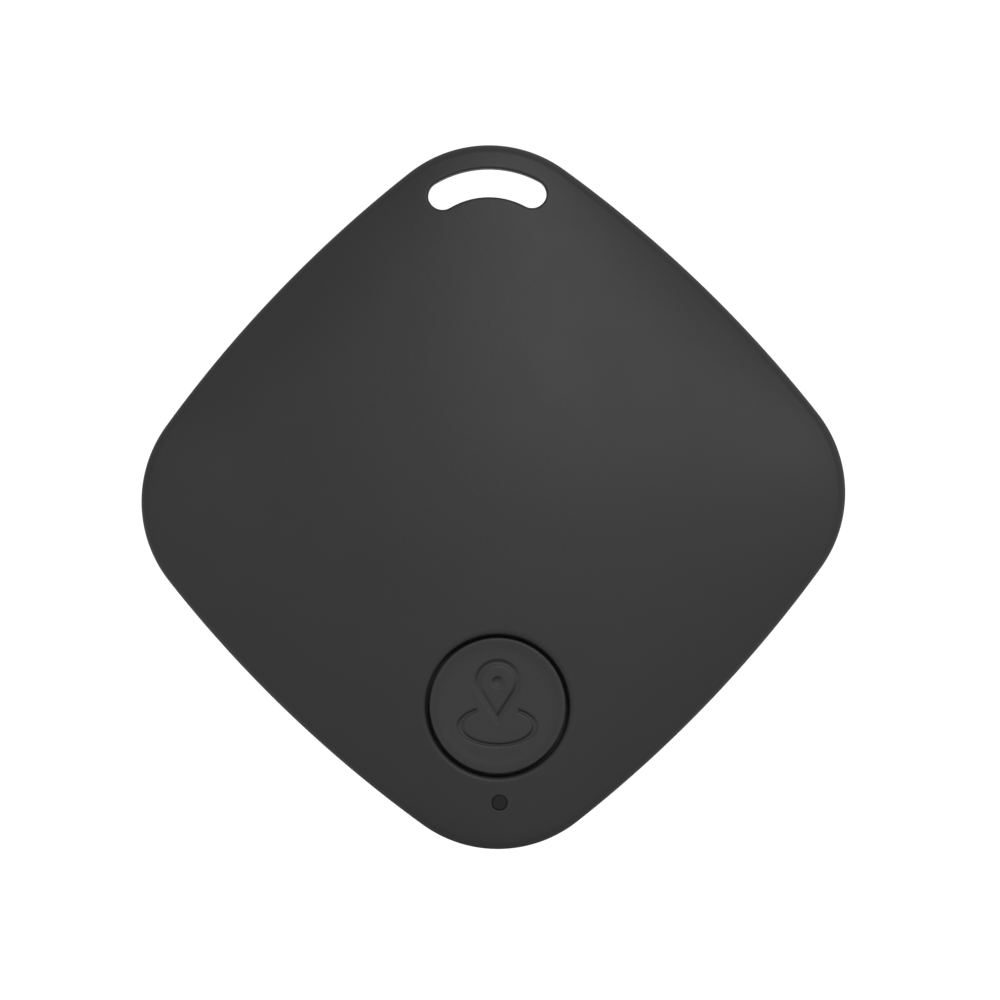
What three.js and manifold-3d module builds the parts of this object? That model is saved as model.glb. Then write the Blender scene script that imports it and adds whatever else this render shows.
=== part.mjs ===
// A coin-cell Bluetooth tracker tag: a domed, rounded-square case with a lanyard slot in one corner
// and a round push button in the opposite one. The case is a front cover and a snap-off rear cover
// round a circuit board, a coin cell, a tactile switch and a piezo sounder.
//
// Units are millimetres. The tag is drawn lying on its back: x to the right, y towards the lanyard
// slot, z out of the front face, with z = 0 on the rear face. The last group stands it up, so that
// +Z points at the slot and the front face looks along -Y.
import * as THREE from "three";
import { LoftGeometry } from "three/addons/geometries/LoftGeometry.js";
import { mergeVertices } from "three/addons/utils/BufferGeometryUtils.js";
import Module from "manifold-3d";

const wasm = await Module();
wasm.setup();

const QUARTER_TURN = Math.PI / 2;
const EIGHTH_TURN = Math.PI / 4;

// ---------- driving dimensions ----------

// Case outline: four bowed sides joined by four corner arcs, standing on one corner.
const ACROSS_FLATS = 38;
const SIDE_RADIUS = 81;
const CORNER_RADIUS = 8.2;
const THICKNESS = 8;

// Front cover: a straight rim, a rolled edge, a soft shoulder and a shallow pillow-shaped dome.
const SPLIT = 2.8; // height of the parting line above the rear face
const SPLIT_GAP = 0.05;
const EDGE_WIDTH = 0.5; // how far in from the outline the rolled edge reaches
const EDGE_DROP = 0.5;
const INNER_EDGE = 0.3; // width of the rolled edge inside the wall
const SHOULDER_WIDTH = 5.5; // how far in the shoulder reaches, where the face bends down a little more
const SHOULDER_DROP = 0.22;
const DOME_MARGIN = 2.9; // how far in from the outline the dome has fallen by its rise
const DOME_RISE = 1.25;
const WALL = 1.2;

// Rear cover: a flat face, a rolled edge and a lip that pushes into the front cover.
const REAR_EDGE_RADIUS = 2.2;
const REAR_FLOOR = 1.1;
const LIP = { outside: 1.35, inside: 1.95, top: 3.9, clearance: 0.15 }; // insets from the outline
const NOTCH = { width: 7, depth: 1, bottom: 1.9 };

// Lanyard slot: an arc-shaped slot round the corner arc's own centre.
const SLOT_RADIUS = 5.8;
const SLOT_HALF_WIDTH = 0.93;
const SLOT_HALF_ANGLE = THREE.MathUtils.degToRad(29.5);
const SLOT_WALL = 1.1;

// Push button and its tactile switch.
const BUTTON_Y = -13.3;
const BUTTON_RADIUS = 4.35;
const BUTTON_HOLE_RADIUS = 4.66;
const BUTTON_RECESS = 0.1; // how far the middle of the button's face sits under the dome
const BUTTON_TILT = 0.045; // slope of its flat face, half that of the dome round it
const BUTTON_BOSS = { radius: 5.5, bottom: 5.5 };
const BUTTON_FLANGE = { radius: 5.1, bottom: 5, top: 5.45 };
const BUTTON_STEM = { radius: 1.1, bottom: 4.9 };
const SWITCH = { side: 4.5, base: 0.75, cover: 0.2, opening: 1, well: 1.7, wellDepth: 0.5 };
const SNAP_DOME = { radius: 1.55, shoulder: 0.8, shoulderRise: 0.14, rise: 0.18, lift: 0.02, sheet: 0.08 };
const PLUNGER = { radius: 0.9, foot: 1.4, footHeight: 0.12, depth: 0.15, chamfer: 0.1, gap: 0.05 };
const ENGRAVING = { depth: 0.15, stroke: 0.5 };
const PIN = { radius: 1.5, headY: 1.5, tipY: -1.15, innerTipY: -0.3, dotRadius: 0.4 };
const GROUND = { halfWidth: 2.6, halfDepth: 1.3, y: -1.3, gap: 2.6 };

// Status light: a smoked window over a surface-mounted lamp.
const WINDOW_Y = -19.5;
const WINDOW_RADIUS = 0.5;
const WINDOW_CLEARANCE = 0.05;
const WINDOW_RECESS = 0.15;
const WINDOW_FLANGE = { radius: 0.85, bottom: 4.7, top: 5.05 };

// Circuit board, round the coin cell.
const BOARD = { inset: 2.3, back: 2.8, front: 3.6, top: 16.6, cellHole: 10.6 };
const POST = { reach: 13.86, shoulder: 1.2, pin: 0.6, hole: 0.75, head: 1, headBack: 2.4, headGap: 0.02 };

// Coin cell, 20 mm across and 3.2 mm thick, with its positive can towards the rear.
const CELL = {
  radius: 10,
  thickness: 3.2,
  back: 1.2,
  skin: 0.25,
  bend: 0.3,
  lip: 0.75, // how far the can's rolled lip reaches in
  rimDrop: 0.25, // how far the lip lies below the negative face
  capRadius: 8.75,
  capBend: 0.2,
  gap: 0.05,
  sealDepth: 0.9,
};
const NEST = { inner: 10.3, outer: 10.9, top: 2.3, halfAngle: THREE.MathUtils.degToRad(16) };
const CONTACT_SHEET = 0.2;
const CONTACT_GAP = 0.05; // to the cell, so that the two don't overlap
const NEGATIVE_CONTACT = {
  width: 2.4,
  dimple: 1.2, // how far from the middle each bend is
  shoulder: 2.6,
  span: 9.2,
  foot: 11,
  end: 12.5,
  lift: 0.6, // of the bridge above the cell
};
const POSITIVE_CONTACT = { width: 4, tip: 0.2, belly: 1, bend: 0.3, end: 13 };

// Piezo sounder, taped to a flat pad inside the dome.
const PAD = { radius: 6.6, bottom: 6.45 };
const SOUNDER = { tape: 0.15, brass: 0.2, ceramic: 0.15, radius: 6, ceramicRadius: 4.5 };
const WIRE = { radius: 0.25, gap: 0.05, sag: 0.3, clearance: 0.4 };

// Facet counts.
const CORNER_STEPS = 8;
const SIDE_STEPS = 6;
const EDGE_STEPS = 5;
const SHOULDER_STEPS = 3;
const ROUND_STEPS = 40;
const SMALL_ROUND_STEPS = 20;

// ---------- values worked out from them ----------

const HALF_FLATS = ACROSS_FLATS / 2;
const SIDE_CENTRE = SIDE_RADIUS - HALF_FLATS;
const CORNER_CENTRE = cornerCentre();
const SIDE_HALF_ANGLE = Math.atan2(
  CORNER_CENTRE * Math.SQRT1_2,
  SIDE_CENTRE + CORNER_CENTRE * Math.SQRT1_2,
);
const DOME_FLAT = HALF_FLATS - DOME_MARGIN; // reach of the dome towards a side
const DOME_CORNER = CORNER_CENTRE + CORNER_RADIUS - DOME_MARGIN; // and towards a corner
const CELL_FRONT = CELL.back + CELL.thickness;
const ABOVE = THICKNESS + 1; // clear of the whole case
const BELOW = -1;

// How far each corner arc's centre lies from the middle, so that it is tangent to both sides.
function cornerCentre() {
  const along = SIDE_CENTRE * Math.SQRT1_2;
  return Math.sqrt((SIDE_RADIUS - CORNER_RADIUS) ** 2 - along ** 2) - along;
}

// ---------- solids ----------

function solidOf(geometry) {
  const bare = geometry.index ? geometry.toNonIndexed() : geometry.clone();
  bare.deleteAttribute("normal");
  bare.deleteAttribute("uv");
  const merged = mergeVertices(bare, 1e-4);
  return new wasm.Manifold(
    new wasm.Mesh({
      numProp: 3,
      vertProperties: merged.attributes.position.array,
      triVerts: new Uint32Array(merged.index.array),
    }),
  );
}

function geometryOf(solid) {
  const mesh = solid.getMesh();
  const geometry = new THREE.BufferGeometry();
  geometry.setAttribute("position", new THREE.BufferAttribute(mesh.vertProperties, 3));
  geometry.setIndex(new THREE.BufferAttribute(mesh.triVerts, 1));
  geometry.computeVertexNormals();
  return geometry;
}

function cut(solid, ...tools) {
  return tools.reduce((left, tool) => left.subtract(tool), solid);
}

function join(solid, ...others) {
  return others.reduce((sum, other) => sum.add(other), solid);
}

// ---------- plain shapes ----------

function disc(radius, bottom, top, x = 0, y = 0, steps = ROUND_STEPS) {
  const geometry = new THREE.CylinderGeometry(radius, radius, top - bottom, steps);
  return geometry.rotateX(QUARTER_TURN).translate(x, y, (bottom + top) / 2);
}

function box(width, depth, bottom, top, x = 0, y = 0) {
  return new THREE.BoxGeometry(width, depth, top - bottom).translate(x, y, (bottom + top) / 2);
}

function prism(shape, bottom, top, curveSegments = 8) {
  const options = { depth: top - bottom, bevelEnabled: false, curveSegments };
  return new THREE.ExtrudeGeometry(shape, options).translate(0, 0, bottom);
}

// A turned piece round the z axis, from [radius, height] pairs that run up its outside.
function turned(profile, steps = ROUND_STEPS) {
  const points = profile.map(([radius, height]) => new THREE.Vector2(radius, height));
  return new THREE.LatheGeometry(points, steps).rotateX(QUARTER_TURN);
}

// A strip of sheet metal: [along, height] pairs down the middle of its thickness, bent in the xz
// plane and as wide along y as stated.
function strip(bends, thickness, width) {
  const middle = bends.map(([along, height]) => new THREE.Vector2(along, height));
  const sideways = middle.map((point, i) => {
    const before = middle[Math.max(i - 1, 0)];
    const after = middle[Math.min(i + 1, middle.length - 1)];
    const run = after.clone().sub(before).normalize();
    return new THREE.Vector2(-run.y, run.x).multiplyScalar(thickness / 2);
  });
  const upper = middle.map((point, i) => point.clone().add(sideways[i]));
  const lower = middle.map((point, i) => point.clone().sub(sideways[i]));
  const shape = new THREE.Shape([...lower, ...upper.reverse()]);
  const options = { depth: width, bevelEnabled: false };
  return new THREE.ExtrudeGeometry(shape, options).translate(0, 0, -width / 2).rotateX(QUARTER_TURN);
}

// ---------- case outline ----------

function arcPoints(x, y, radius, from, to, steps) {
  return Array.from({ length: steps }, (_, i) => {
    const angle = from + ((to - from) * i) / steps;
    return new THREE.Vector2(x + radius * Math.cos(angle), y + radius * Math.sin(angle));
  });
}

// The case outline moved inwards by an inset, anticlockwise from the right-hand corner.
function outline(inset) {
  const spread = EIGHTH_TURN - SIDE_HALF_ANGLE;
  const points = [];
  for (let quarter = 0; quarter < 4; quarter++) {
    const corner = quarter * QUARTER_TURN;
    const side = corner + EIGHTH_TURN;
    const cornerX = CORNER_CENTRE * Math.cos(corner);
    const cornerY = CORNER_CENTRE * Math.sin(corner);
    const sideX = -SIDE_CENTRE * Math.cos(side);
    const sideY = -SIDE_CENTRE * Math.sin(side);
    const cornerArc = [CORNER_RADIUS - inset, corner - spread, corner + spread, CORNER_STEPS];
    const sideArc = [SIDE_RADIUS - inset, side - SIDE_HALF_ANGLE, side + SIDE_HALF_ANGLE, SIDE_STEPS];
    points.push(...arcPoints(cornerX, cornerY, ...cornerArc));
    points.push(...arcPoints(sideX, sideY, ...sideArc));
  }
  return points;
}

function section(inset, height) {
  return outline(inset).map((p) => new THREE.Vector3(p.x, p.y, height));
}

function loft(sections) {
  return solidOf(new LoftGeometry(sections, { capStart: true, capEnd: true }));
}

// How far the dome has fallen from the middle of the face. It falls by DOME_RISE on the way to the
// dome's margin, both towards the sides and towards the corners.
function domeFall(x, y) {
  const ratio = (DOME_CORNER / DOME_FLAT) ** 2;
  const round = (x ** 2 + y ** 2) / DOME_FLAT ** 2;
  const square = ((x ** 2 - y ** 2) / DOME_CORNER ** 2) ** 2;
  return DOME_RISE * (round - (ratio - 1) * square);
}

// How much further the face has fallen on its shoulder, at a distance in from the outline.
function shoulderFall(inset) {
  return SHOULDER_DROP * Math.max(1 - inset / SHOULDER_WIDTH, 0) ** 2.5;
}

// The space inside the front cover's outer surface, or inside that surface moved in by an offset.
function frontForm(offset, bottom) {
  const width = Math.max(EDGE_WIDTH - offset, INNER_EDGE);
  const top = THICKNESS - offset;
  const sections = [section(offset, bottom)];
  const addSection = (inset, drop) => {
    const edge = top - drop - shoulderFall(inset);
    sections.push(outline(inset).map(({ x, y }) => new THREE.Vector3(x, y, edge - domeFall(x, y))));
  };
  for (let i = 0; i <= EDGE_STEPS; i++) {
    const turn = (QUARTER_TURN * i) / EDGE_STEPS;
    const drop = (width / EDGE_WIDTH) * EDGE_DROP;
    addSection(offset + width * (1 - Math.cos(turn)), drop * (1 - Math.sin(turn)));
  }
  for (let i = 1; i <= SHOULDER_STEPS; i++) {
    const start = offset + width;
    addSection(start + ((SHOULDER_WIDTH - start) * i) / SHOULDER_STEPS, 0);
  }
  const crease = outline(SHOULDER_WIDTH);
  for (const scale of [0.75, 0.5, 0.25, 0.05]) {
    sections.push(
      crease.map(({ x, y }) => {
        const height = top - domeFall(x * scale, y * scale);
        return new THREE.Vector3(x * scale, y * scale, height);
      }),
    );
  }
  return loft(sections);
}

function rearForm(top) {
  const sections = [];
  for (let i = 0; i <= EDGE_STEPS; i++) {
    const turn = QUARTER_TURN * (1 - i / EDGE_STEPS);
    const inset = REAR_EDGE_RADIUS * (1 - Math.cos(turn));
    sections.push(section(inset, REAR_EDGE_RADIUS * (1 - Math.sin(turn))));
  }
  sections.push(section(0, top));
  return loft(sections);
}

// ---------- lanyard slot ----------

function slotForm(grow, bottom, top) {
  const width = SLOT_HALF_WIDTH + grow;
  const from = QUARTER_TURN - SLOT_HALF_ANGLE;
  const to = QUARTER_TURN + SLOT_HALF_ANGLE;
  const endX = SLOT_RADIUS * Math.sin(SLOT_HALF_ANGLE);
  const endY = CORNER_CENTRE + SLOT_RADIUS * Math.cos(SLOT_HALF_ANGLE);
  const shape = new THREE.Shape();
  shape.absarc(0, CORNER_CENTRE, SLOT_RADIUS + width, from, to, false);
  shape.absarc(-endX, endY, width, to, to + Math.PI, false);
  shape.absarc(0, CORNER_CENTRE, SLOT_RADIUS - width, to, from, true);
  shape.absarc(endX, endY, width, from + Math.PI, from + 2 * Math.PI, false);
  return solidOf(prism(shape, bottom, top));
}

// ---------- the button's face and its pictogram ----------

// The space under the button's flat face, moved down by a depth.
function buttonFaceForm(depth) {
  const height = THICKNESS - domeFall(0, BUTTON_Y) - BUTTON_RECESS - depth;
  const tilt = THREE.MathUtils.radToDeg(Math.atan(BUTTON_TILT));
  const space = solidOf(box(HALF_FLATS, HALF_FLATS, -THICKNESS, 0));
  return space.rotate([tilt, 0, 0]).translate(0, BUTTON_Y, height);
}

// A generic map pin: a ring of constant stroke that comes to a point, with a dot in its head.
function pinOutline(radius, headY, tipY) {
  const lean = Math.asin(radius / (headY - tipY));
  const shape = new THREE.Shape();
  shape.moveTo(0, tipY);
  shape.lineTo(radius * Math.cos(lean), headY - radius * Math.sin(lean));
  shape.absarc(0, headY, radius, -lean, Math.PI + lean, false);
  return shape;
}

// An ellipse of constant stroke under the pin.
function groundOutline() {
  const { halfWidth, halfDepth, y } = GROUND;
  const { stroke } = ENGRAVING;
  const ring = new THREE.Shape().absellipse(0, y, halfWidth, halfDepth, 0, 2 * Math.PI, false, 0);
  const hole = new THREE.Path();
  hole.absellipse(0, y, halfWidth - stroke, halfDepth - stroke, 0, 2 * Math.PI, true, 0);
  ring.holes.push(hole);
  return ring;
}

// The engraving tool: the pictogram's strokes down to a floor that follows the button's face.
function engravingForm() {
  const bottom = BUTTON_BOSS.bottom;
  const { radius, headY, tipY, innerTipY, dotRadius } = PIN;
  const innerRadius = radius - ENGRAVING.stroke;
  const pinBand = cut(
    solidOf(prism(pinOutline(radius, headY, tipY), bottom, ABOVE)),
    solidOf(prism(pinOutline(innerRadius, headY, innerTipY), BELOW, ABOVE + 1)),
  );
  const ring = cut(
    solidOf(prism(groundOutline(), bottom, ABOVE, SMALL_ROUND_STEPS)),
    solidOf(box(GROUND.gap, GROUND.halfDepth, BELOW, ABOVE + 1)),
  );
  const dot = solidOf(disc(dotRadius, bottom, ABOVE, 0, headY, SMALL_ROUND_STEPS));
  const strokes = join(pinBand, ring, dot).translate(0, BUTTON_Y, 0);
  return cut(strokes, buttonFaceForm(ENGRAVING.depth));
}

// ---------- the case ----------

// A post stands behind the middle of each side.
const SIDE_DIRECTIONS = [1, 3, 5, 7].map((eighth) => eighth * EIGHTH_TURN);

// A disc of the same size at each of the four posts.
function discsAtPosts(radius, bottom, top) {
  return SIDE_DIRECTIONS.map((turn) => {
    const x = POST.reach * Math.cos(turn);
    const y = POST.reach * Math.sin(turn);
    return solidOf(disc(radius, bottom, top, x, y, SMALL_ROUND_STEPS));
  });
}

// The shell with its lug round the lanyard slot, the sounder's pad, the button's boss and the posts,
// whose pins pass through the board and end in melted-over heads.
function frontCover() {
  const kept = [
    slotForm(SLOT_WALL, BELOW, ABOVE),
    solidOf(disc(PAD.radius, PAD.bottom, ABOVE)),
    solidOf(disc(BUTTON_BOSS.radius, BUTTON_BOSS.bottom, ABOVE, 0, BUTTON_Y)),
    ...discsAtPosts(POST.shoulder, BOARD.front, ABOVE),
  ];
  const cavity = cut(frontForm(WALL, BELOW), ...kept);
  const windowHole = WINDOW_RADIUS + WINDOW_CLEARANCE;
  const pins = [
    ...discsAtPosts(POST.pin, POST.headBack, BOARD.front + POST.pin),
    ...discsAtPosts(POST.head, POST.headBack, BOARD.back - POST.headGap),
  ];
  const shell = cut(
    frontForm(0, SPLIT),
    cavity,
    slotForm(0, BELOW, ABOVE),
    solidOf(disc(BUTTON_HOLE_RADIUS, BELOW, ABOVE, 0, BUTTON_Y)),
    solidOf(disc(windowHole, BELOW, ABOVE, 0, WINDOW_Y, SMALL_ROUND_STEPS)),
  );
  return join(shell, ...pins);
}

// A low curved rib that keeps the cell in place.
function nestRib(middle) {
  const shape = new THREE.Shape();
  shape.absarc(0, 0, NEST.outer, middle - NEST.halfAngle, middle + NEST.halfAngle, false);
  shape.absarc(0, 0, NEST.inner, middle + NEST.halfAngle, middle - NEST.halfAngle, true);
  return solidOf(prism(shape, REAR_FLOOR / 2, NEST.top));
}

function rearCover() {
  const rim = SPLIT - SPLIT_GAP;
  const lipOutside = new THREE.Shape(outline(LIP.outside));
  const lipInside = new THREE.Shape(outline(LIP.inside));
  const lip = cut(
    solidOf(prism(lipOutside, REAR_FLOOR, LIP.top)),
    slotForm(SLOT_WALL + LIP.clearance, rim, ABOVE),
  );
  const shell = cut(
    join(rearForm(rim), lip),
    cut(solidOf(prism(lipInside, REAR_FLOOR, ABOVE)), slotForm(SLOT_WALL, BELOW, ABOVE + 1)),
    slotForm(0, BELOW, ABOVE),
    solidOf(box(NOTCH.width, 2 * NOTCH.depth, NOTCH.bottom, ABOVE, 0, -CORNER_CENTRE - CORNER_RADIUS)),
  );
  return join(shell, ...SIDE_DIRECTIONS.map(nestRib));
}

// A round plug that ends at a face, with a flange behind the cover.
function plug(radius, flange, face, y, steps) {
  const barrel = solidOf(disc(radius, flange.bottom, ABOVE, 0, y, steps)).intersect(face);
  return barrel.add(solidOf(disc(flange.radius, flange.bottom, flange.top, 0, y, steps)));
}

function buttonCap() {
  const cap = plug(BUTTON_RADIUS, BUTTON_FLANGE, buttonFaceForm(0), BUTTON_Y, ROUND_STEPS);
  const { radius, bottom } = BUTTON_STEM;
  const stem = solidOf(disc(radius, bottom, BUTTON_FLANGE.top, 0, BUTTON_Y, SMALL_ROUND_STEPS));
  return cut(join(cap, stem), engravingForm());
}

function lightWindow() {
  const face = frontForm(0, SPLIT).translate(0, 0, -WINDOW_RECESS);
  return plug(WINDOW_RADIUS, WINDOW_FLANGE, face, WINDOW_Y, SMALL_ROUND_STEPS);
}

// ---------- the board and what is soldered to it ----------

function circuitBoard() {
  const blank = solidOf(prism(new THREE.Shape(outline(BOARD.inset)), BOARD.back, BOARD.front));
  return cut(
    blank,
    solidOf(box(ACROSS_FLATS, ACROSS_FLATS, BELOW, ABOVE, 0, BOARD.top + HALF_FLATS)),
    solidOf(disc(BOARD.cellHole, BELOW, ABOVE)),
    ...discsAtPosts(POST.hole, BELOW, ABOVE),
  );
}

// The switch is drawn on its own axis: base, snap dome, sheet-metal cover and plunger.
const SWITCH_BASE_TOP = BOARD.front + SWITCH.base;
const SWITCH_COVER_TOP = SWITCH_BASE_TOP + SWITCH.cover;

function switchBase() {
  const block = solidOf(box(SWITCH.side, SWITCH.side, BOARD.front, SWITCH_BASE_TOP));
  const well = disc(SWITCH.well, SWITCH_BASE_TOP - SWITCH.wellDepth, ABOVE, 0, 0, SMALL_ROUND_STEPS);
  return geometryOf(cut(block, solidOf(well)));
}

function switchCover() {
  const plate = solidOf(box(SWITCH.side, SWITCH.side, SWITCH_BASE_TOP, SWITCH_COVER_TOP));
  return geometryOf(cut(plate, solidOf(disc(SWITCH.opening, BELOW, ABOVE, 0, 0, SMALL_ROUND_STEPS))));
}

function switchDome() {
  const { radius, shoulder, shoulderRise, rise, lift, sheet } = SNAP_DOME;
  const floor = SWITCH_BASE_TOP - SWITCH.wellDepth + lift;
  const profile = [
    [0, floor + rise],
    [shoulder, floor + shoulderRise],
    [radius, floor],
    [radius, floor + sheet],
    [shoulder, floor + shoulderRise + sheet],
    [0, floor + rise + sheet],
  ];
  return turned(profile, SMALL_ROUND_STEPS);
}

function switchPlunger() {
  const { radius, foot, footHeight, depth, chamfer, gap } = PLUNGER;
  const bottom = SWITCH_BASE_TOP - depth;
  const top = BUTTON_STEM.bottom - gap;
  const profile = [
    [0, bottom],
    [foot, bottom],
    [foot, bottom + footHeight],
    [radius, bottom + footHeight],
    [radius, top - chamfer],
    [radius - chamfer, top],
    [0, top],
  ];
  return turned(profile, SMALL_ROUND_STEPS);
}

// Box-shaped parts soldered to the board's front face: [width, depth, height] and [x, y].
const CHIP_PARTS = {
  radio_chip: { size: [4, 4, 0.85], at: [15, 0], look: "chip" },
  crystal: { size: [3.2, 2.5, 0.75], at: [14.3, -4.1], look: "steel" },
  chip_antenna: { size: [1.6, 3.2, 0.6], at: [-18.6, 0], look: "ceramic" },
  boost_inductor: { size: [3, 3, 1.2], at: [-14.5, 2.9], look: "ferrite" },
  buzzer_transistor: { size: [2.9, 1.3, 1], at: [-14.5, -2.5], look: "chip" },
  status_lamp: { size: [1.6, 0.8, 0.5], at: [0, -19.1], look: "lamp" },
  capacitor_1: { size: [1, 0.5, 0.5], at: [15, 2.8], look: "capacitor" },
  capacitor_2: { size: [1, 0.5, 0.5], at: [15, 3.9], look: "capacitor" },
  capacitor_3: { size: [1.6, 0.8, 0.8], at: [6.2, -14], look: "capacitor" },
  capacitor_4: { size: [1.6, 0.8, 0.8], at: [-6.2, -14], look: "capacitor" },
  resistor_1: { size: [1, 0.5, 0.35], at: [-14.5, -4.2], look: "resistor" },
  resistor_2: { size: [0.5, 1, 0.35], at: [-16.9, 0.4], look: "resistor" },
  resistor_3: { size: [1, 0.5, 0.35], at: [3.4, -17.2], look: "resistor" },
};

// ---------- battery contacts ----------

// A spring bridge over the cell's hole, with a dimple that bears on the cell's negative face.
function negativeContact() {
  const { width, dimple, shoulder, span, foot, end, lift } = NEGATIVE_CONTACT;
  const bridge = CELL_FRONT + lift;
  const board = BOARD.front + CONTACT_SHEET / 2;
  const half = [
    [dimple, CELL_FRONT + CONTACT_GAP + CONTACT_SHEET / 2],
    [shoulder, bridge],
    [span, bridge],
    [foot, board],
    [end, board],
  ];
  const mirrored = half.map(([along, height]) => [-along, height]).reverse();
  return strip([...mirrored, ...half], CONTACT_SHEET, width);
}

// A clip at the edge of the cell's hole, whose tongue bears on the side of the positive can.
function positiveContact() {
  const { width, tip, belly, bend, end } = POSITIVE_CONTACT;
  const tongue = CELL.radius + CONTACT_GAP + CONTACT_SHEET / 2;
  const board = BOARD.front + CONTACT_SHEET / 2;
  const bends = [
    [tongue + tip, CELL.back + 2 * tip],
    [tongue, CELL.back + belly],
    [tongue + bend / 2, board - bend],
    [tongue + bend, board],
    [end, board],
  ];
  return strip(bends, CONTACT_SHEET, width);
}

// ---------- coin cell ----------

const CELL_RIM = CELL_FRONT - CELL.rimDrop;

function cellCan() {
  const { radius, back, skin, bend, lip } = CELL;
  return turned([
    [0, back],
    [radius - bend, back],
    [radius, back + bend],
    [radius, CELL_RIM - bend],
    [radius - lip, CELL_RIM],
    [radius - lip, CELL_RIM - skin],
    [radius - skin, CELL_RIM - skin - bend],
    [radius - skin, back + skin],
    [0, back + skin],
  ]);
}

function cellCap() {
  const { back, skin, capRadius, capBend, gap } = CELL;
  return turned([
    [0, back + skin + gap],
    [capRadius, back + skin + gap],
    [capRadius, CELL_FRONT - capBend],
    [capRadius - capBend, CELL_FRONT],
    [0, CELL_FRONT],
  ]);
}

// The seal between the can's rolled lip and the cap.
function cellGasket() {
  const { radius, skin, bend, lip, capRadius, gap, sealDepth } = CELL;
  const inner = capRadius + gap;
  const outer = radius - skin - gap;
  return turned([
    [inner, CELL_RIM - sealDepth],
    [outer, CELL_RIM - sealDepth],
    [outer, CELL_RIM - skin - bend - gap],
    [radius - lip - gap, CELL_RIM - skin - gap],
    [radius - lip - gap, CELL_RIM],
    [inner, CELL_RIM],
    [inner, CELL_RIM - sealDepth],
  ]);
}

// ---------- sounder ----------

const TAPE_BOTTOM = PAD.bottom - SOUNDER.tape;
const BRASS_BOTTOM = TAPE_BOTTOM - SOUNDER.brass;
const CERAMIC_BOTTOM = BRASS_BOTTOM - SOUNDER.ceramic;

function sounderTape() {
  const ring = solidOf(disc(SOUNDER.radius, TAPE_BOTTOM, PAD.bottom));
  return geometryOf(cut(ring, solidOf(disc(SOUNDER.ceramicRadius, BELOW, ABOVE))));
}

// An insulated wire from the sounder to its solder pad on the board.
function sounderWire(side, start, bottom) {
  const points = [
    [start, start, bottom - WIRE.radius - WIRE.gap],
    [4.6, 6.4, bottom - WIRE.radius - WIRE.sag],
    [5.6, 9.2, CELL_FRONT + WIRE.radius + WIRE.clearance],
    [6, 11, BOARD.front + WIRE.radius + WIRE.clearance],
    [6.1, 12.2, BOARD.front + WIRE.radius + WIRE.gap],
  ];
  const path = new THREE.CatmullRomCurve3(points.map(([x, y, z]) => new THREE.Vector3(side * x, y, z)));
  const circle = new THREE.Shape().absarc(0, 0, WIRE.radius, 0, 2 * Math.PI, false);
  const options = { steps: 14, bevelEnabled: false, extrudePath: path, curveSegments: 4 };
  return new THREE.ExtrudeGeometry(circle, options);
}

// ---------- materials ----------

const LOOKS = {
  case: { color: 0x3f3f3f, roughness: 0.55, metalness: 0 },
  window: { color: 0x262626, roughness: 0.2, metalness: 0 },
  board: { color: 0x1c5a35, roughness: 0.45, metalness: 0 },
  chip: { color: 0x1b1b1d, roughness: 0.5, metalness: 0 },
  steel: { color: 0xb8babd, roughness: 0.35, metalness: 1 },
  brass: { color: 0xc9a45c, roughness: 0.35, metalness: 1 },
  ceramic: { color: 0xd8d4c8, roughness: 0.6, metalness: 0 },
  ferrite: { color: 0x3a3a3c, roughness: 0.7, metalness: 0 },
  lamp: { color: 0xf2efd8, roughness: 0.3, metalness: 0 },
  capacitor: { color: 0xb59a78, roughness: 0.5, metalness: 0 },
  resistor: { color: 0x151515, roughness: 0.5, metalness: 0 },
  nylon: { color: 0xdcdad2, roughness: 0.6, metalness: 0 },
  tape: { color: 0xe9e6dc, roughness: 0.8, metalness: 0 },
  red: { color: 0xa8201c, roughness: 0.45, metalness: 0 },
  black: { color: 0x161616, roughness: 0.45, metalness: 0 },
};

function part(name, geometry, look) {
  const mesh = new THREE.Mesh(geometry, new THREE.MeshStandardMaterial(LOOKS[look]));
  mesh.name = name;
  return mesh;
}

// ---------- assembly ----------

function chipPart(name) {
  const { size, at, look } = CHIP_PARTS[name];
  const [width, depth, height] = size;
  const mesh = part(name, box(width, depth, 0, height), look);
  mesh.position.set(at[0], at[1], BOARD.front);
  return mesh;
}

function switchGroup() {
  const group = new THREE.Group();
  group.position.set(0, BUTTON_Y, 0);
  group.add(
    part("switch_base", switchBase(), "chip"),
    part("switch_dome", switchDome(), "steel"),
    part("switch_cover", switchCover(), "steel"),
    part("switch_plunger", switchPlunger(), "black"),
  );
  return group;
}

function boardGroup() {
  const group = new THREE.Group();
  const positive = part("positive_contact", positiveContact(), "steel");
  positive.rotation.z = QUARTER_TURN;
  group.add(
    part("circuit_board", geometryOf(circuitBoard()), "board"),
    ...Object.keys(CHIP_PARTS).map(chipPart),
    switchGroup(),
    part("negative_contact", negativeContact(), "steel"),
    positive,
  );
  return group;
}

function sounderGroup() {
  const group = new THREE.Group();
  const brass = disc(SOUNDER.radius, BRASS_BOTTOM, TAPE_BOTTOM);
  const ceramic = disc(SOUNDER.ceramicRadius, CERAMIC_BOTTOM, BRASS_BOTTOM);
  group.add(
    part("sounder_tape", sounderTape(), "tape"),
    part("sounder_brass_disc", brass, "brass"),
    part("sounder_ceramic", ceramic, "ceramic"),
    part("sounder_wire_red", sounderWire(1, 2.6, CERAMIC_BOTTOM), "red"),
    part("sounder_wire_black", sounderWire(-1, 3.7, BRASS_BOTTOM), "black"),
  );
  return group;
}

function cellGroup() {
  const group = new THREE.Group();
  group.add(
    part("battery_can", cellCan(), "steel"),
    part("battery_gasket", cellGasket(), "nylon"),
    part("battery_cap", cellCap(), "steel"),
  );
  return group;
}

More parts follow.
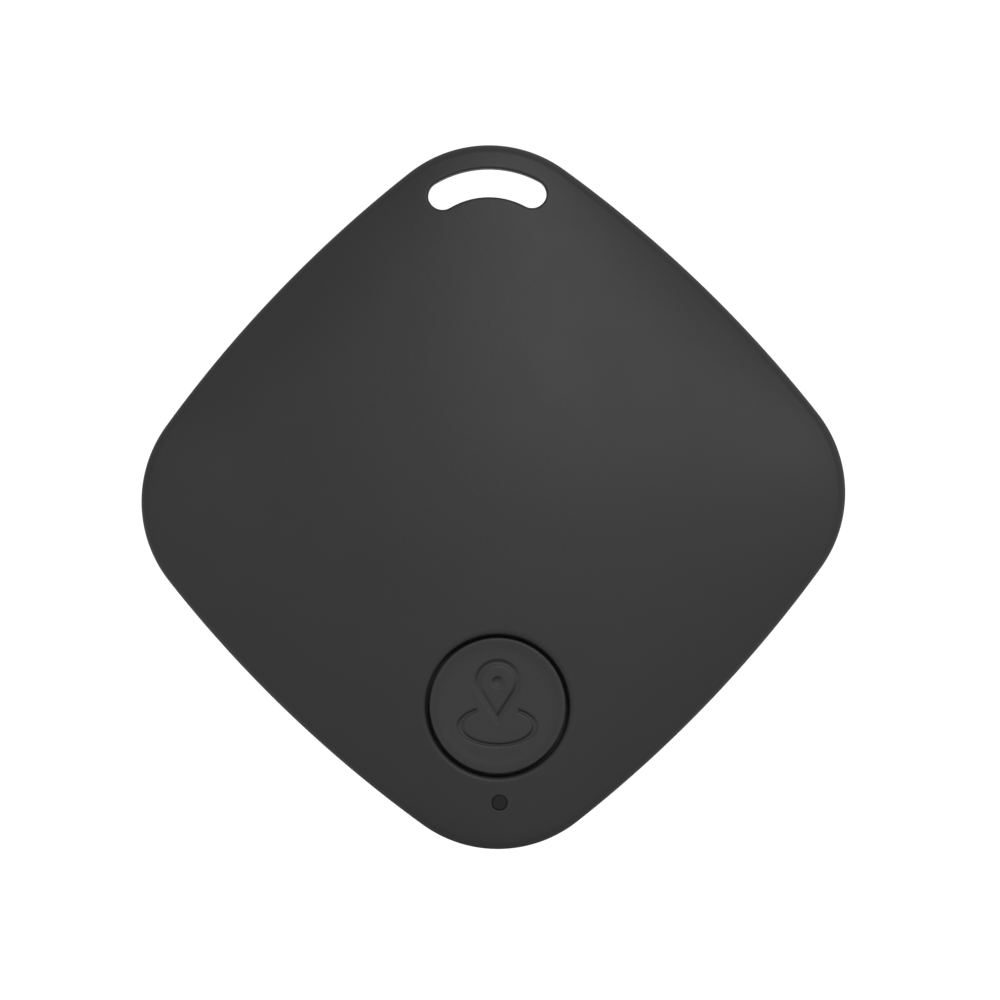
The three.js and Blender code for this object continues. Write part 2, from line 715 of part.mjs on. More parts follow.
const lyingTag = new THREE.Group();
lyingTag.add(
  part("front_cover", geometryOf(frontCover()), "case"),
  part("rear_cover", geometryOf(rearCover()), "case"),
  part("button_cap", geometryOf(buttonCap()), "case"),
  part("status_light_window", geometryOf(lightWindow()), "window"),
  boardGroup(),
  sounderGroup(),
  cellGroup(),
);
lyingTag.rotation.x = QUARTER_TURN;

const tag = new THREE.Group();
tag.add(lyingTag);

export default tag;
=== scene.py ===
"""A coin-cell wireless tracker tag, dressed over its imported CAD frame.

Every CAD node is rebuilt as a finer mesh that stands for it. A few pieces stand for no node: the copper
tracks and vias, the tinned ends and leads, the solder, the lamp's lens and the sounder's silvering.

Meshes are drawn in millimetres with the tag lying on its back: x to the right, y towards the lanyard
slot, z out of the front face and z = 0 on the rear face. finish_piece() stands them up in the row frame.
"""
import math

import bmesh
import bpy
from mathutils import Matrix, Vector
from mathutils.geometry import delaunay_2d_cdt


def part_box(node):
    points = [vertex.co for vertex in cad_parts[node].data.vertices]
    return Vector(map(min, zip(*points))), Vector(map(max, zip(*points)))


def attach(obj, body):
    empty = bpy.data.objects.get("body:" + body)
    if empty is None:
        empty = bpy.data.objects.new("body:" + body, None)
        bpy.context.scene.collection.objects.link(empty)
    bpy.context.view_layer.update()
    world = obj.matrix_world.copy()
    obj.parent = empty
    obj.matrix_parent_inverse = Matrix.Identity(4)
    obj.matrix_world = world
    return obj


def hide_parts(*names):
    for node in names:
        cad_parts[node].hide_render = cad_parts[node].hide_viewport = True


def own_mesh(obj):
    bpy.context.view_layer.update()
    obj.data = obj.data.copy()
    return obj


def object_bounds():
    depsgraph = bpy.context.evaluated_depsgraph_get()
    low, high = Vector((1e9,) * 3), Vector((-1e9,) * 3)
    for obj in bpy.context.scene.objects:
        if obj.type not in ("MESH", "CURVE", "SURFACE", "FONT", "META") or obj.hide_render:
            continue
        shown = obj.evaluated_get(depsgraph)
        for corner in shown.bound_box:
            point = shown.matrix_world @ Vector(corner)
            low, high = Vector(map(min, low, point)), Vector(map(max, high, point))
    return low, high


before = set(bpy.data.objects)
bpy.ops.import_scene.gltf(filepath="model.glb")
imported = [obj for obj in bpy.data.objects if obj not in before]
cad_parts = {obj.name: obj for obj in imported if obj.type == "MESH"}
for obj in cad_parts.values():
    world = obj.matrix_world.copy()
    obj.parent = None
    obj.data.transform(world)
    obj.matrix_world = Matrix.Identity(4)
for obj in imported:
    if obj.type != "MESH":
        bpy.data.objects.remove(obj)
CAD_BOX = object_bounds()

MM = 0.001
EIGHTH_TURN = math.pi / 4
QUARTER_TURN = math.pi / 2
STAND = Matrix(((MM, 0, 0, 0), (0, 0, -MM, 0), (0, MM, 0, 0), (0, 0, 0, 1)))
WELD = 1e-4


def lying_box(node):
    """Lowest and highest corner of a CAD node, in millimetres, lying on its back."""
    low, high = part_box(node)
    return Vector((low.x, low.z, -high.y)) / MM, Vector((high.x, high.z, -low.y)) / MM


# ---------- driving dimensions ----------
# As in the CAD source, but for the parting gap, the engraving, the fineness, and the fit of the button
# and the window.

# Case outline: four bowed sides joined by four corner arcs, standing on one corner.
ACROSS_FLATS = 38.0
SIDE_RADIUS = 81.0
CORNER_RADIUS = 8.2
THICKNESS = 8.0

# Front cover: a straight rim, a rolled edge, a soft shoulder and a pillow-shaped dome.
SPLIT = 2.8
SPLIT_GAP = 0.012
SPLIT_CHAMFER = 0.08
EDGE_WIDTH = 0.5
EDGE_DROP = 0.5
INNER_EDGE = 0.3
SHOULDER_WIDTH = 5.5
SHOULDER_DROP = 0.22
DOME_MARGIN = 2.9
DOME_RISE = 1.25
WALL = 1.2

# Rear cover.
REAR_EDGE_RADIUS = 2.2
REAR_FLOOR = 1.1
LIP_OUTSIDE = 1.35
LIP_INSIDE = 1.95
LIP_TOP = 3.9
LIP_CLEARANCE = 0.15
NOTCH_WIDTH = 7.0
NOTCH_DEPTH = 1.0
NOTCH_BOTTOM = 1.9
RIB_INNER = 10.3
RIB_OUTER = 10.9
RIB_TOP = 2.3
RIB_HALF_ANGLE = math.radians(16)

# Lanyard slot.
SLOT_RADIUS = 5.8
SLOT_HALF_WIDTH = 0.93
SLOT_HALF_ANGLE = math.radians(29.5)
SLOT_WALL = 1.1
SLOT_ROUND = 0.14  # radius on its edges

# Button and the hole that it moves in.
BUTTON_RADIUS = 4.35
BUTTON_ROUND = 0.12
BUTTON_RECESS = 0.1
BUTTON_TILT = 0.045  # slope of its face
BUTTON_HOLE_RADIUS = 4.56
BUTTON_HOLE_ROUND = 0.3
BOSS_RADIUS = 5.5
BOSS_BOTTOM = 5.5
FLANGE_TOP = 5.45
FLANGE_BOTTOM = 5.0
STEM_RADIUS = 1.1
DISH_RADIUS = 3.4  # where the button's flat face starts to rise towards its rim
DISH_RUN = 0.7
DISH_DEPTH = 0.025
CAP_TURN = math.radians(-1.6)  # how far the round cap has turned in its hole

# The pictogram engraved in the button.
ENGRAVING_DEPTH = 0.11
PIN_SLOPE = 0.21  # width of its sloped walls, seen from above
GROUND_SLOPE = 0.152
PIN_RADIUS = 1.52
PIN_INNER_RADIUS = 1.0
PIN_HEAD_Y = 1.5
PIN_TIP_Y = -1.17
PIN_INNER_TIP_Y = -0.36
PIN_DOT_RADIUS = 0.42
GROUND_Y = -1.31
GROUND_OUTER = (2.63, 1.35)
GROUND_INNER = (2.15, 1.04)
GROUND_GAP = 1.26  # half the opening at its top

# Status light.
WINDOW_HOLE_RADIUS = 0.5
WINDOW_HOLE_ROUND = 0.05
WINDOW_RADIUS = 0.475
WINDOW_RECESS = 0.1
WINDOW_ROUND = 0.03

# Inside.
PAD_RADIUS = 6.6
PAD_BOTTOM = 6.45
BOARD_INSET = 2.3
BOARD_TOP = 16.6
CELL_HOLE = 10.6
POST_REACH = 13.86
POST_SHOULDER = 1.2
POST_PIN = 0.6
POST_HOLE = 0.75
POST_HEAD = 1.0
POST_HEAD_BACK = 2.4
POST_HEAD_GAP = 0.02
WIRE_RADIUS = 0.25

# Fineness.
CORNER_STEPS = 36
SIDE_STEPS = 44
RIM_BAND = 1.2  # how far in the covers' edges are drawn as rings
RIM_STEPS = 16
SURFACE_SPACING = 0.6
ROUND_STEPS = 160
SMALL_ROUND_STEPS = 56
SMOOTH_ANGLE = math.radians(32)

# ---------- values worked out from them and from the frame ----------

HALF_FLATS = ACROSS_FLATS / 2
SIDE_CENTRE = SIDE_RADIUS - HALF_FLATS
ALONG = SIDE_CENTRE * math.sqrt(0.5)
CORNER_CENTRE = math.sqrt((SIDE_RADIUS - CORNER_RADIUS) ** 2 - ALONG**2) - ALONG
CORNER_REACH = CORNER_CENTRE + CORNER_RADIUS
SIDE_HALF_ANGLE = math.atan2(CORNER_CENTRE * math.sqrt(0.5), SIDE_CENTRE + CORNER_CENTRE * math.sqrt(0.5))
DOME_FLAT = HALF_FLATS - DOME_MARGIN
DOME_CORNER = CORNER_REACH - DOME_MARGIN
DOME_RATIO = (DOME_CORNER / DOME_FLAT) ** 2
REAR_RIM = SPLIT - SPLIT_GAP
ABOVE = THICKNESS + 1
BELOW = -1.0

BUTTON_LOW, BUTTON_HIGH = lying_box("button_cap")
BUTTON_Y = (BUTTON_LOW.y + BUTTON_HIGH.y) / 2
FLANGE_RADIUS = (BUTTON_HIGH.x - BUTTON_LOW.x) / 2
STEM_BOTTOM = BUTTON_LOW.z
WINDOW_LOW, WINDOW_HIGH = lying_box("status_light_window")
WINDOW_Y = (WINDOW_LOW.y + WINDOW_HIGH.y) / 2
WINDOW_FLANGE = (WINDOW_HIGH.x - WINDOW_LOW.x) / 2
WINDOW_BOTTOM = WINDOW_LOW.z
WINDOW_FLANGE_TOP = WINDOW_BOTTOM + 0.35
BOARD_BACK = lying_box("circuit_board")[0].z
BOARD_FRONT = lying_box("circuit_board")[1].z
POST_TURNS = [EIGHTH_TURN * eighth for eighth in (1, 3, 5, 7)]


# ---------- plane shapes ----------


def polar(radius, turn, middle=(0.0, 0.0)):
    return (middle[0] + radius * math.cos(turn), middle[1] + radius * math.sin(turn))


def arc(middle, radius, start, end, steps):
    """Points along an arc, without its last one."""
    return [polar(radius, start + (end - start) * i / steps, middle) for i in range(steps)]


def circle(radius, middle=(0.0, 0.0), steps=ROUND_STEPS):
    return arc(middle, radius, 0, math.tau, steps)


def outline(inset):
    """The case outline moved inwards, anticlockwise from the right-hand corner."""
    spread = EIGHTH_TURN - SIDE_HALF_ANGLE
    points = []
    for quarter in range(4):
        corner = quarter * QUARTER_TURN
        side = corner + EIGHTH_TURN
        low, high = side - SIDE_HALF_ANGLE, side + SIDE_HALF_ANGLE
        corner_middle = polar(CORNER_CENTRE, corner)
        side_middle = polar(-SIDE_CENTRE, side)
        points += arc(corner_middle, CORNER_RADIUS - inset, corner - spread, corner + spread, CORNER_STEPS)
        points += arc(side_middle, SIDE_RADIUS - inset, low, high, SIDE_STEPS)
    return points


def inset_of(x, y):
    """How far a point lies inside the case outline."""
    far, near = max(abs(x), abs(y)), min(abs(x), abs(y))
    turn = math.atan2(near + ALONG, far + ALONG)
    if turn < EIGHTH_TURN - SIDE_HALF_ANGLE:
        return CORNER_RADIUS - math.hypot(far - CORNER_CENTRE, near)
    return SIDE_RADIUS - math.hypot(far + ALONG, near + ALONG)


def slot_loop(grow):
    """The lanyard slot's outline moved outwards."""
    width = SLOT_HALF_WIDTH + grow
    start, end = QUARTER_TURN - SLOT_HALF_ANGLE, QUARTER_TURN + SLOT_HALF_ANGLE
    middle = (0.0, CORNER_CENTRE)
    left = polar(SLOT_RADIUS, end, middle)
    right = polar(SLOT_RADIUS, start, middle)
    points = arc(middle, SLOT_RADIUS + width, start, end, 36)
    points += arc(left, width, end, end + math.pi, 18)
    points += arc(middle, SLOT_RADIUS - width, end, start, 26)
    points += arc(right, width, start + math.pi, start + math.tau, 18)
    return points


def slot_distance(x, y):
    """How far a point lies outside the lanyard slot."""
    across, up = abs(x), y - CORNER_CENTRE
    if math.atan2(across, up) <= SLOT_HALF_ANGLE:
        return abs(math.hypot(across, up) - SLOT_RADIUS) - SLOT_HALF_WIDTH
    end_x = SLOT_RADIUS * math.sin(SLOT_HALF_ANGLE)
    end_y = SLOT_RADIUS * math.cos(SLOT_HALF_ANGLE)
    return math.hypot(across - end_x, up - end_y) - SLOT_HALF_WIDTH


def hole_distance(x, y, hole_y, radius):
    return math.hypot(x, y - hole_y) - radius


def rounded_rectangle(width, depth, radius, middle=(0.0, 0.0), steps=6):
    points = []
    for quarter, (side, end) in enumerate(((1, 1), (-1, 1), (-1, -1), (1, -1))):
        corner = (middle[0] + side * (width / 2 - radius), middle[1] + end * (depth / 2 - radius))
        start = quarter * QUARTER_TURN
        points += arc(corner, radius, start, start + QUARTER_TURN, steps)
        points.append(polar(radius, start + QUARTER_TURN, corner))
    return points


def moved_in(points, distance):
    """An anticlockwise loop moved inwards along its mitred corners."""
    moved = []
    for i, here in enumerate(points):
        before, after = Vector(points[i - 1]), Vector(points[(i + 1) % len(points)])
        arriving = (Vector(here) - before).normalized()
        leaving = (after - Vector(here)).normalized()
        inwards = Vector((-arriving.y - leaving.y, arriving.x + leaving.x)).normalized()
        mitre = max(inwards.dot(Vector((-leaving.y, leaving.x))), 0.3)
        moved.append(tuple(Vector(here) + inwards * distance / mitre))
    return moved


# ---------- heights ----------


def roll(distance, width, drop):
    """How far a rounded edge has fallen, at a distance in from the edge."""
    if distance >= width:
        return 0.0
    share = 1 - max(distance, 0.0) / width
    return drop * (1 - math.sqrt(1 - share * share))


def smooth_step(value):
    value = min(max(value, 0.0), 1.0)
    return value * value * (3 - 2 * value)


def dome_fall(x, y):
    """How far the dome has fallen from the middle of the face."""
    across = (x * x + y * y) / DOME_FLAT**2
    cross = ((x * x - y * y) / DOME_CORNER**2) ** 2
    return DOME_RISE * (across - (DOME_RATIO - 1) * cross)


def shoulder_fall(inset):
    return SHOULDER_DROP * max(1 - inset / SHOULDER_WIDTH, 0.0) ** 2.5


def face_height(x, y):
    """The front face without its holes."""
    inset = inset_of(x, y)
    return THICKNESS - dome_fall(x, y) - shoulder_fall(inset) - roll(inset, EDGE_WIDTH, EDGE_DROP)


def front_height(x, y):
    height = face_height(x, y)
    height -= roll(slot_distance(x, y), SLOT_ROUND, SLOT_ROUND)
    to_button = hole_distance(x, y, BUTTON_Y, BUTTON_HOLE_RADIUS)
    height -= roll(to_button, BUTTON_HOLE_ROUND, BUTTON_HOLE_ROUND)
    to_window = hole_distance(x, y, WINDOW_Y, WINDOW_HOLE_RADIUS)
    return height - roll(to_window, WINDOW_HOLE_ROUND, WINDOW_HOLE_ROUND)


def rear_height(x, y):
    height = roll(inset_of(x, y), REAR_EDGE_RADIUS, REAR_EDGE_RADIUS)
    return height + roll(slot_distance(x, y), SLOT_ROUND, SLOT_ROUND)


def button_height(x, y):
    """The button's face: a plane, a little under the dome, that rises softly to a rounded rim."""
    out = math.hypot(x, y - BUTTON_Y)
    plane = THICKNESS - dome_fall(0, BUTTON_Y) - BUTTON_RECESS + BUTTON_TILT * (y - BUTTON_Y)
    rise = DISH_DEPTH * (smooth_step((out - DISH_RADIUS) / DISH_RUN) - 1)
    return plane + rise - roll(BUTTON_RADIUS - out, BUTTON_ROUND, BUTTON_ROUND)


def window_height(x, y):
    rim = roll(WINDOW_RADIUS - math.hypot(x, y - WINDOW_Y), WINDOW_ROUND, WINDOW_ROUND)
    return face_height(x, y) - WINDOW_RECESS - rim


# ---------- mesh building ----------


def inside_loop(x, y, loop):
    """Whether a point lies inside a loop, by counting crossings."""
    inside = False
    for i, (bx, by) in enumerate(loop):
        ax, ay = loop[i - 1]
        if (ay > y) != (by > y) and x < ax + (bx - ax) * (y - ay) / (by - ay):
            inside = not inside
    return inside


def at_height(loop, height):
    """A plane loop lifted to a height, or to a height function."""
    if callable(height):
        return [(x, y, height(x, y)) for x, y in loop]
    return [(x, y, height) for x, y in loop]


def thinned(candidates, cell=0.7):
    """Drops each (x, y, gap) candidate that lies nearer than its gap to one kept before it."""
    kept, cells = [], {}
    for x, y, gap in candidates:
        column, row = round(x / cell), round(y / cell)
        near = []
        for i in (-1, 0, 1):
            for j in (-1, 0, 1):
                near += cells.get((column + i, row + j), [])
        if all((x - a) ** 2 + (y - b) ** 2 >= gap * gap for a, b in near):
            kept.append((x, y))
            cells.setdefault((column, row), []).append((x, y))
    return kept


def hex_grid(reach, spacing, middle=(0.0, 0.0)):
    """Points of a triangular grid over a square."""
    points = []
    row_height = spacing * math.sqrt(0.75)
    rows = int(reach / row_height)
    columns = int(reach / spacing)
    for row in range(-rows, rows + 1):
        for column in range(-columns, columns + 1):
            shift = 0.5 * (row % 2)
            points.append((middle[0] + (column + shift) * spacing, middle[1] + row * row_height))
    return points


def beyond_borders(faces, borders, outer):
    """Numbers of the triangles outside the outer border or inside one of the other borders."""
    left_of = {}
    for number, face in enumerate(faces):
        for i, corner in enumerate(face):
            left_of[(face[i - 1], corner)] = number
    walls = set(borders) | {(end, start) for start, end in borders}
    waiting = [left_of.get((end, start) if (start, end) in outer else (start, end)) for start, end in borders]
    beyond = set()
    while waiting:
        number = waiting.pop()
        if number is None or number in beyond:
            continue
        beyond.add(number)
        face = faces[number]
        for i, corner in enumerate(face):
            if (corner, face[i - 1]) not in walls:
                waiting.append(left_of.get((corner, face[i - 1])))
    return beyond


class Skin:
    """Collects the points and faces of one closed mesh. make() welds what meets."""

    def __init__(self):
        self.points = []
        self.faces = []

    def rings(self, rings):
        """Quads between one ring and the next, all of the same length."""
        start = len(self.points)
        count = len(rings[0])
        for ring in rings:
            self.points += ring
        for level in range(len(rings) - 1):
            for i in range(count):
                low = start + level * count
                j = (i + 1) % count
                self.faces.append((low + i, low + j, low + count + j, low + count + i))

    def sheet(self, loops, inside, height):
        """Triangles inside the first loop and outside the others, through the inside points. All the
        loops run anticlockwise."""
        flat, edges = [], []
        for loop in loops:
            first = len(flat)
            flat += [Vector(point) for point in loop]
            edges += [(first + i, first + (i + 1) % len(loop)) for i in range(len(loop))]
        flat += [Vector(point) for point in inside]
        points, _, faces, sources, *_ = delaunay_2d_cdt(flat, edges, [], 0, 1e-7)
        place = {old: new for new, olds in enumerate(sources) for old in olds}
        borders = [(place[start], place[end]) for start, end in edges]
        outer = set(borders[: len(loops[0])])
        unwanted = beyond_borders(faces, borders, outer)
        start = len(self.points)
        self.points += at_height([(p.x, p.y) for p in points], height)
        kept = [face for number, face in enumerate(faces) if number not in unwanted]
        self.faces += [tuple(start + i for i in face) for face in kept]

    def make(self, name):
        mesh = bpy.data.meshes.new(name)
        mesh.from_pydata(self.points, [], self.faces)
        work = bmesh.new()
        work.from_mesh(mesh)
        bmesh.ops.remove_doubles(work, verts=work.verts, dist=WELD)
        bmesh.ops.dissolve_degenerate(work, dist=WELD / 10, edges=work.edges)
        bmesh.ops.recalc_face_normals(work, faces=work.faces)
        work.to_mesh(mesh)
        work.free()
        piece = bpy.data.objects.new(name, mesh)
        bpy.context.scene.collection.objects.link(piece)
        return piece


def prism(name, loop, bottom, top, chamfer=0.0, holes=()):
    """A closed solid over a loop, with holes through it, and small chamfers if asked."""
    skin = Skin()
    ends = []
    for number, edge in enumerate((loop, *holes)):
        inwards = chamfer if number == 0 else -chamfer
        end = moved_in(edge, inwards) if chamfer else edge
        levels = [(end, bottom), (edge, bottom + chamfer), (edge, top - chamfer), (end, top)]
        levels = levels if chamfer else [(edge, bottom), (edge, top)]
        skin.rings([at_height(ring, height) for ring, height in levels])
        ends.append(end)
    skin.sheet(ends, [], bottom)
    skin.sheet(ends, [], top)
    return skin.make(name)


def softened(profile, radius, steps=4):
    """A closed profile with each corner replaced by a small curve."""
    soft = []
    for i, here in enumerate(profile):
        corner = Vector(here)
        before = Vector(profile[i - 1]) - corner
        after = Vector(profile[(i + 1) % len(profile)]) - corner
        reach = min(radius, before.length / 2, after.length / 2)
        if corner.x < WELD:
            soft.append(corner)
            continue
        start = corner + before.normalized() * reach
        end = corner + after.normalized() * reach
        for step in range(steps + 1):
            t = step / steps
            soft.append(start * (1 - t) ** 2 + corner * (2 * t * (1 - t)) + end * t**2)
    return soft


def turned(name, profile, soft=0.0, middle=(0.0, 0.0), steps=ROUND_STEPS):
    """A turned solid from a closed [radius, height] profile. A profile may start and end on the axis."""
    points = softened(profile, soft) if soft else [Vector(point) for point in profile]
    skin = Skin()
    rings = [at_height(circle(max(p.x, 1e-5), middle, steps), p.y) for p in points]
    on_axis = points[0].x < WELD
    skin.rings(rings if on_axis else rings + rings[:1])
    return skin.make(name)


def merged(name, pieces):
    """One object holding several meshes."""
    work = bmesh.new()
    for piece in pieces:
        work.from_mesh(piece.data)
        bpy.data.objects.remove(piece)
    mesh = bpy.data.meshes.new(name)
    work.to_mesh(mesh)
    work.free()
    whole = bpy.data.objects.new(name, mesh)
    bpy.context.scene.collection.objects.link(whole)
    return whole


def boolean(target, operation, *tools):
    """Adds, cuts or crosses closed meshes, and uses the tools up."""
    for tool in tools:
        modifier = target.modifiers.new(tool.name, "BOOLEAN")
        modifier.operation = operation
        modifier.solver = "MANIFOLD"
        modifier.object = tool
    bpy.context.view_layer.update()
    shaped = target.evaluated_get(bpy.context.evaluated_depsgraph_get())
    target.data = bpy.data.meshes.new_from_object(shaped)
    target.modifiers.clear()
    for tool in tools:
        bpy.data.objects.remove(tool)
    return target


def mark(piece, name, measure):
    """Stores a number for each point, 0 to 1, for the piece's material."""
    attribute = piece.data.attributes.new(name, "FLOAT", "POINT")
    attribute.data.foreach_set("value", [measure(vertex) for vertex in piece.data.vertices])


def finish_piece(piece, material, body, slot, *nodes):
    """Shades a piece, stands it up in the row frame and hangs it on its body."""
    piece.data.transform(STAND)
    piece.data.polygons.foreach_set("use_smooth", [True] * len(piece.data.polygons))
    piece.data.set_sharp_from_angle(angle=SMOOTH_ANGLE)
    piece.data.materials.clear()
    piece.data.materials.append(material)
    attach(piece, body)
    if nodes:
        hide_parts(*nodes)
    return piece


# ---------- front cover ----------

WEAR_REACH = 0.35  # how far from an edge the plastic is worn
GAP_SHADE = 0.7  # how much painted shade darkens the walls of a gap


def rolled_insets(width, reach, steps):
    """Insets across a rolled edge out to a reach, closer together where it is steeper."""
    last = math.acos(max(1 - reach / width, 0))
    insets = [width * (1 - math.cos(last * i / steps)) for i in range(steps + 1)]
    return insets if reach <= width else insets + [reach]


def round_rings(loop_at, width, drop_from, base, steps=5):
    """Rings of a hole: its straight wall up from a base height, then its rounded edge."""
    rings = [at_height(loop_at(0), base)]
    rings += [at_height(loop_at(grow), drop_from) for grow in rolled_insets(width, width, steps)]
    return rings


def hole_loop(radius, y, steps):
    return lambda grow: circle(radius + grow, (0, y), steps)


def surface_points(features, edge_width):
    """Points to draw a cover's surface through. Each feature is a loop function, a distance function
    and how far out its own rings already reach."""
    candidates = []
    for inset in [RIM_BAND + 0.25 * step for step in range(1, 9)] + [edge_width, edge_width + 0.15]:
        candidates += [(x, y, 0.18) for x, y in outline(inset)]
    for loop_at, _, reach in features:
        for further in (0.12, 0.3, 0.55, 0.9):
            candidates += [(x, y, min(further, 0.3)) for x, y in loop_at(reach + further)]
    candidates += [(x, y, 0.42) for x, y in hex_grid(CORNER_REACH, SURFACE_SPACING)]
    clear = []
    for x, y, gap in candidates:
        if inset_of(x, y) < RIM_BAND + 0.12:
            continue
        if all(distance(x, y) > reach + 0.08 for _, distance, reach in features):
            clear.append((x, y, gap))
    return thinned(clear)


def cover_blank(name, features, height, edge_width, base, away):
    """A solid cover: its outer surface, rolled edge, rim and holes, closed by a flat parting face.
    away is +1 where the outer surface lies above the parting face, and -1 where it lies below."""
    skin = Skin()
    chamfer = base + away * SPLIT_CHAMFER
    rim = [at_height(outline(SPLIT_CHAMFER), base), at_height(outline(0), chamfer)]
    rim += [at_height(outline(inset), height) for inset in rolled_insets(edge_width, RIM_BAND, RIM_STEPS)]
    skin.rings(rim)
    loops = [outline(RIM_BAND)]
    base_loops = [outline(SPLIT_CHAMFER)]
    for loop_at, _, reach in features:
        skin.rings(round_rings(loop_at, reach, height, base))
        loops.append(loop_at(reach))
        base_loops.append(loop_at(0))
    skin.sheet(loops, surface_points(features, edge_width), height)
    skin.sheet(base_loops, [], base)
    return skin.make(name)


def slot_prism(name, grow, bottom, top):
    return prism(name, slot_loop(grow), bottom, top)


def disc(name, radius, bottom, top, middle, steps=SMALL_ROUND_STEPS):
    return prism(name, circle(radius, middle, steps), bottom, top)


def cavity_form():
    """The space inside the front cover's walls."""
    skin = Skin()
    top = THICKNESS - WALL
    steps = 8
    turns = [QUARTER_TURN * i / steps for i in range(steps + 1)]
    levels = [(WALL + INNER_EDGE * (1 - math.cos(t)), INNER_EDGE * (1 - math.sin(t))) for t in turns]
    levels += [(inset, 0) for inset in (2.2, 3.0, 4.0, SHOULDER_WIDTH)]
    rings = [at_height(outline(WALL), BELOW)]
    for inset, drop in levels:
        edge = top - drop - shoulder_fall(inset)
        rings.append([(x, y, edge - dome_fall(x, y)) for x, y in outline(inset)])
    crease = outline(SHOULDER_WIDTH)
    for share in (0.85, 0.7, 0.5, 0.35, 0.2, 0.1):
        loop = [(x * share, y * share) for x, y in crease]
        rings.append([(x, y, top - dome_fall(x, y)) for x, y in loop])
    skin.rings(rings)
    skin.sheet([loop], [], lambda x, y: top - dome_fall(x, y))
    skin.sheet([outline(WALL)], [], BELOW)
    return skin.make("cavity")


def front_cover():
    slot_feature = (slot_loop, slot_distance, SLOT_ROUND)
    button_feature = (
        hole_loop(BUTTON_HOLE_RADIUS, BUTTON_Y, ROUND_STEPS),
        lambda x, y: hole_distance(x, y, BUTTON_Y, BUTTON_HOLE_RADIUS),
        BUTTON_HOLE_ROUND,
    )
    window_feature = (
        hole_loop(WINDOW_HOLE_RADIUS, WINDOW_Y, SMALL_ROUND_STEPS),
        lambda x, y: hole_distance(x, y, WINDOW_Y, WINDOW_HOLE_RADIUS),
        WINDOW_HOLE_ROUND,
    )
    features = [slot_feature, button_feature, window_feature]
    shell = cover_blank("front_shell", features, front_height, EDGE_WIDTH, SPLIT, 1)
    cavity = cavity_form()
    kept = [
        slot_prism("lug", SLOT_WALL, BELOW - 1, ABOVE),
        disc("pad", PAD_RADIUS, PAD_BOTTOM, ABOVE, (0, 0), ROUND_STEPS),
        disc("boss", BOSS_RADIUS, BOSS_BOTTOM, ABOVE, (0, BUTTON_Y), ROUND_STEPS),
    ]
    kept += [disc("post", POST_SHOULDER, BOARD_FRONT, ABOVE, polar(POST_REACH, turn)) for turn in POST_TURNS]
    boolean(cavity, "DIFFERENCE", *kept)
    boolean(shell, "DIFFERENCE", cavity)
    boolean(shell, "UNION", *[post_pin(turn) for turn in POST_TURNS])
    mark(shell, "edge", front_edge)
    # painted shade in the gap round the button
    mark(shell, "shade", front_shade)
    return shell


def post_pin(turn):
    """The pin that passes through the board, with its end melted over into a low head."""
    head_front = BOARD_BACK - POST_HEAD_GAP
    profile = [
        (0, POST_HEAD_BACK),
        (POST_HEAD, POST_HEAD_BACK),
        (POST_HEAD, head_front),
        (POST_PIN, head_front),
        (POST_PIN, BOARD_FRONT + POST_PIN),
        (0, BOARD_FRONT + POST_PIN),
    ]
    return turned("pin", profile, 0.16, polar(POST_REACH, turn), SMALL_ROUND_STEPS)


def front_edge(vertex):
    x, y, z = vertex.co
    near = min(
        abs(slot_distance(x, y)),
        abs(hole_distance(x, y, BUTTON_Y, BUTTON_HOLE_RADIUS)),
        inset_of(x, y) + max(z - SPLIT, 0),
    )
    return 1 - smooth_step(near / WEAR_REACH)


def front_shade(vertex):
    """Painted shade in the gap round the button."""
    x, y, z = vertex.co
    depth = face_height(x, y) - z
    if hole_distance(x, y, BUTTON_Y, BUTTON_HOLE_RADIUS) < WELD:
        return GAP_SHADE * smooth_step(depth / BUTTON_HOLE_ROUND - 0.4)
    return 0.0


# ---------- rear cover ----------


def rib_loop(turn):
    start, end = turn - RIB_HALF_ANGLE, turn + RIB_HALF_ANGLE
    points = arc((0, 0), RIB_OUTER, start, end, 24) + [polar(RIB_OUTER, end)]
    return points + arc((0, 0), RIB_INNER, end, start, 24) + [polar(RIB_INNER, start)]


def rear_cover():
    slot_feature = (slot_loop, slot_distance, SLOT_ROUND)
    shell = cover_blank("rear_shell", [slot_feature], rear_height, REAR_EDGE_RADIUS, REAR_RIM, -1)
    lip = prism("lip", outline(LIP_OUTSIDE), REAR_FLOOR + 0.5, LIP_TOP, 0.12)
    boolean(lip, "DIFFERENCE", slot_prism("lug_room", SLOT_WALL + LIP_CLEARANCE, BELOW, ABOVE))
    boolean(shell, "UNION", lip)
    tray = prism("tray", outline(LIP_INSIDE), REAR_FLOOR, ABOVE)
    boolean(tray, "DIFFERENCE", slot_prism("lug", SLOT_WALL, BELOW, ABOVE + 1))
    notch_loop = rounded_rectangle(NOTCH_WIDTH, 2 * NOTCH_DEPTH, 0.45, (0, -CORNER_REACH))
    notch = prism("notch", notch_loop, NOTCH_BOTTOM, ABOVE)
    marks = [disc("pin_mark", 1.3, REAR_FLOOR - 0.06, ABOVE, polar(7.2, turn)) for turn in POST_TURNS]
    boolean(shell, "DIFFERENCE", tray, notch, *marks)
    ribs = [prism("rib", rib_loop(turn), REAR_FLOOR / 2, RIB_TOP, 0.08) for turn in POST_TURNS]
    boolean(shell, "UNION", *ribs)
    mark(shell, "edge", rear_edge)
    return shell


def rear_edge(vertex):
    x, y, z = vertex.co
    near = min(abs(slot_distance(x, y)), inset_of(x, y) + max(REAR_RIM - z, 0))
    return 1 - smooth_step(near / WEAR_REACH)


# ---------- button ----------

